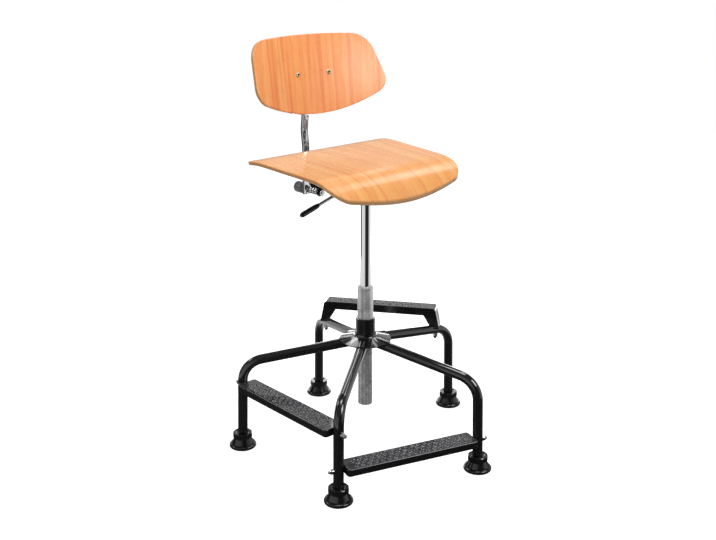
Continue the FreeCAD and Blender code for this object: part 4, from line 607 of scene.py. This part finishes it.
def plywood(name, figure_scale, shift, redness):
    """Lacquered beech plywood; the piece's grain attribute gives across, along and through."""
    material, tree, shader, _ = new_material(name, IOR=1.3, Coat_Weight=0.5, Coat_Roughness=0.28)
    stored = shader_node(tree, "Attribute", attribute_name="grain").outputs["Vector"]
    grain = shader_node(tree, "VectorMath", {0: stored, 1: shift}, operation="ADD").outputs[0]
    face = fill_group(tree, beech_figure, {"Grain": grain, "Figure": figure_scale})
    rim = fill_group(tree, ply_edge, {"Grain": stored})
    stained = colour_mix(tree, redness, face["Colour"], VENEER_STAIN, blend_type="MULTIPLY")
    whole = colour_mix(tree, rim["Edge"], stained, rim["Colour"])
    # Painted dark reflection: glossy rays see the veneer near black instead of its own colour.
    mirrored = shader_node(tree, "LightPath").outputs["Is Glossy Ray"]
    painted_dark_reflection = math_node(tree, "MULTIPLY", mirrored, PAINTED_DARK_REFLECTION_SHARE)
    tree.links.new(colour_mix(tree, painted_dark_reflection, whole, VENEER_PAINTED_DARK_REFLECTION), shader["Base Color"])
    tree.links.new(wiped_gloss(tree, stored, scale=30.0, shine=0.22, dull=0.36), shader["Roughness"])
    tree.links.new(embossed(tree, face["Height"], strength=0.06, depth=0.0006), shader["Normal"])
    return material


def merged_copy(node, name):
    """A copy of a solid's mesh with its loose triangles joined, which stands for the solid."""
    piece = bpy.data.objects.new(name, nodes[node].data.copy())
    scene.collection.objects.link(piece)
    bpy.ops.object.select_all(action="DESELECT")
    piece.select_set(True)
    bpy.context.view_layer.objects.active = piece
    bpy.ops.object.mode_set(mode="EDIT")
    bpy.ops.mesh.select_all(action="SELECT")
    bpy.ops.mesh.remove_doubles(threshold=MERGE_GAP)
    bpy.ops.object.mode_set(mode="OBJECT")
    if piece.data.has_custom_normals:
        bpy.ops.mesh.customdata_custom_splitnormals_clear()
    bpy.ops.object.shade_smooth_by_angle(angle=SOLID_CREASE)
    piece.data.materials.clear()
    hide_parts(node)
    return piece


def store_grain(piece, grain_of):
    """Keep each point's place in the veneer with the mesh, for the material to read."""
    stored = piece.data.attributes.new("grain", "FLOAT_VECTOR", "POINT")
    for corner, value in zip(piece.data.vertices, stored.data):
        value.vector = grain_of(corner.co)


SEAT_FLAT = (-0.049, 0.127)
SEAT_ROLLS = (0.138, 0.200)
seat_face = next(mount for mount in frame["record"]["mounts"] if mount["name"] == "seat_face")
seat_middle = Vector(seat_face["pos_m"])
seat_up = Vector(seat_face["axis"])
seat_back = Vector((0, seat_up.z, -seat_up.y))
roll_starts = [seat_middle + seat_back * ((y - seat_middle.y) / seat_back.y) for y in SEAT_FLAT]


def seat_grain(point):
    """Across, along the rolled profile, and through the ply from the top."""
    for start, roll, side in zip(roll_starts, SEAT_ROLLS, (-1, 1)):
        offset = Vector((0, point.y, point.z)) - start
        past = offset.dot(seat_back) * side
        if past > 0:
            arm = offset + seat_up * roll
            turn = math.atan2(past, arm.dot(seat_up))
            return point.x, start.y + side * roll * turn, roll - arm.length
    return point.x, point.y, -(Vector((0, point.y, point.z)) - roll_starts[0]).dot(seat_up)


seat = merged_copy("seat_shell", "seat_plywood")
store_grain(seat, seat_grain)
seat_veneer = plywood("seat_veneer", figure_scale=5.0, shift=(0.31, 0.12, 0), redness=0.15)
seat.data.materials.append(seat_veneer)
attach(seat, "seat_frame")

# The release lever: a chromed steel rod with a boss, which turns on a pin between two lugs.
# Its black plastic grip is pushed on to the end.
dress(["release_lever"], chrome)
dress(["lever_grip"], glide_plastic)

# The back bar: flat steel with a joggle, chromed, which turns on a pin in the carrier.
# Polishing by hand leaves the flat of the bar a little wavy. The coil spring between its foot
# and the spindle's lug is bare steel wire, and gives as the bar leans.
WAVE_LENGTH = (1, 1, 0.35)
FLAT_EDGE = (0.3, 0.7)
SIDEWAYS = (1, 0, 0)
bar_chrome, tree, shader, place = new_material(
    "wavy_chrome", Base_Color=CHROME_TONE, Metallic=1.0, Roughness=0.06)
waves = noise(tree, stretched(tree, place, WAVE_LENGTH), scale=60.0, detail=1.0)
facing = shader_node(tree, "TexCoord").outputs["Normal"]
sideways = math_node(tree, "ABSOLUTE", along_heading(tree, facing, SIDEWAYS))
on_flat = blend_range(tree, sideways, *FLAT_EDGE, start=1.0, end=0.0)
height = math_node(tree, "MULTIPLY", waves, on_flat)
tree.links.new(embossed(tree, height, strength=0.8, depth=0.008), shader["Normal"])
dress(["back_bar"], bar_chrome)
dress(["backrest_pin", "knob_washer"], bright_zinc)
spring = merged_copy("tension_spring", "tension_spring_coil")
spring.data.materials.append(steel)
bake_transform(spring)

# The tension knob: dark grey moulded plastic with flutes for the fingers, screwed on to the
# end of the spindle behind the bar.
KNOB_TONE = (0.12, 0.12, 0.125, 1)
knob_plastic, tree, shader, place = new_material("knob_plastic", Base_Color=KNOB_TONE)
tree.links.new(wiped_gloss(tree, place, scale=90.0, shine=0.28, dull=0.45), shader["Roughness"])
dress(["tension_knob"], knob_plastic)

# The backrest: the same beech plywood, moulded hollow to the sitter's back, with its veneer
# laid a little askew. A lacquered plate bracket behind it rocks on the pin at the bar's top.
BACK_LEAN = math.radians(21)
BACK_HOLLOW = 0.604
BACK_SKEW = math.radians(12)
BACK_CENTRE = Vector((0, 0.193, 0.933))
back_up = Vector((0, math.sin(BACK_LEAN), math.cos(BACK_LEAN)))
back_out = Vector((0, math.cos(BACK_LEAN), -math.sin(BACK_LEAN)))


def back_grain(point):
    """Across and along the veneer, which is laid a little askew, and through from the front."""
    arm = point - BACK_CENTRE + back_out * BACK_HOLLOW
    round_hollow = BACK_HOLLOW * math.atan2(arm.x, arm.dot(back_out))
    up = arm.dot(back_up)
    across = round_hollow * math.cos(BACK_SKEW) - up * math.sin(BACK_SKEW)
    along = round_hollow * math.sin(BACK_SKEW) + up * math.cos(BACK_SKEW)
    return across, along, math.hypot(arm.x, arm.dot(back_out)) - BACK_HOLLOW


backrest = merged_copy("backrest_shell", "backrest_plywood")
store_grain(backrest, back_grain)
backrest_veneer = plywood("backrest_veneer", figure_scale=7.0, shift=(0.73, 0.41, 0), redness=0.9)
backrest.data.materials.append(backrest_veneer)
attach(backrest, "backrest")
dress(["backrest_bracket"], lacquer)
dress(["backrest_nuts"], bright_zinc)

# Two steel screws through the backrest into nuts behind it, with raised round heads and a deep
# socket. They are zinc plated and passivated yellow, and the sockets are painted dark as shade.
SCREW_PLACE = 0.0495
SCREW_SIDES = 24
SCREW_RADIUS = 0.003
SCREW_LENGTH = 0.0191
HEAD_RADIUS = 0.0058
HEAD_HEIGHT = 0.0026
HEAD_SHOULDER = (0.8 * HEAD_RADIUS, 0.85 * HEAD_HEIGHT)
HEAD_RIM = 0.35 * HEAD_HEIGHT
SOCKET_RADIUS = 0.0028
SOCKET_FLOOR = 0.0004
SOCKET_LIP = 0.0006
SOCKET_REACH = 1.01 * SOCKET_RADIUS
CENTRE = 0.0003
PASSIVATED_YELLOW = (0.78, 0.72, 0.42, 1)
PASSIVATED_GREEN = (0.6, 0.66, 0.42, 1)
SOCKET_PAINTED_SHADE = (0.03, 0.035, 0.02, 1)
screw = turned_shape(SCREW_SIDES, [
    (CENTRE, SOCKET_FLOOR), (SOCKET_RADIUS, SOCKET_FLOOR), (SOCKET_RADIUS, HEAD_SHOULDER[1]),
    (SOCKET_RADIUS + SOCKET_LIP, HEAD_HEIGHT), HEAD_SHOULDER, (HEAD_RADIUS, HEAD_RIM), (HEAD_RADIUS, 0),
    (SCREW_RADIUS, 0), (SCREW_RADIUS, -SCREW_LENGTH), (CENTRE, -SCREW_LENGTH)])
yellow_zinc, tree, shader, place = new_material("yellow_zinc", Metallic=0.75)
# Painted shade: the socket's recess, marked by the socket attribute, is coloured near black.
depth = shader_node(tree, "Attribute", attribute_name="socket").outputs["Fac"]
bloom = noise(tree, place, scale=320.0, detail=3.0)
tint = colour_mix(tree, bloom, PASSIVATED_YELLOW, PASSIVATED_GREEN)
tree.links.new(colour_mix(tree, depth, tint, SOCKET_PAINTED_SHADE), shader["Base Color"])
tree.links.new(wiped_gloss(tree, place, scale=200.0, shine=0.22, dull=0.4), shader["Roughness"])
screw.data.materials.append(yellow_zinc)
socket_shade = screw.data.attributes.new("socket", "FLOAT", "POINT")
for corner, value in zip(screw.data.vertices, socket_shade.data):
    in_socket = math.hypot(corner.co.x, corner.co.y) < SOCKET_REACH and corner.co.z > 0
    value.value = 1.0 if in_socket else 0.0


def screw_place(side):
    """On the hollow face of the backrest, square to it, with the head to the front."""
    turn = side * SCREW_PLACE / BACK_HOLLOW
    rearwards = Vector((math.sin(turn), 0, 0)) + back_out * math.cos(turn)
    on_face = BACK_CENTRE + (rearwards - back_out) * BACK_HOLLOW
    return Matrix.Translation(on_face) @ (-rearwards).to_track_quat("Z", "Y").to_matrix().to_4x4()


screws = spread(screw, "backrest_socket_screws", [screw_place(-1), screw_place(1)])
bpy.data.objects.remove(screw)
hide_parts("backrest_screws")
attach(screws, "backrest")
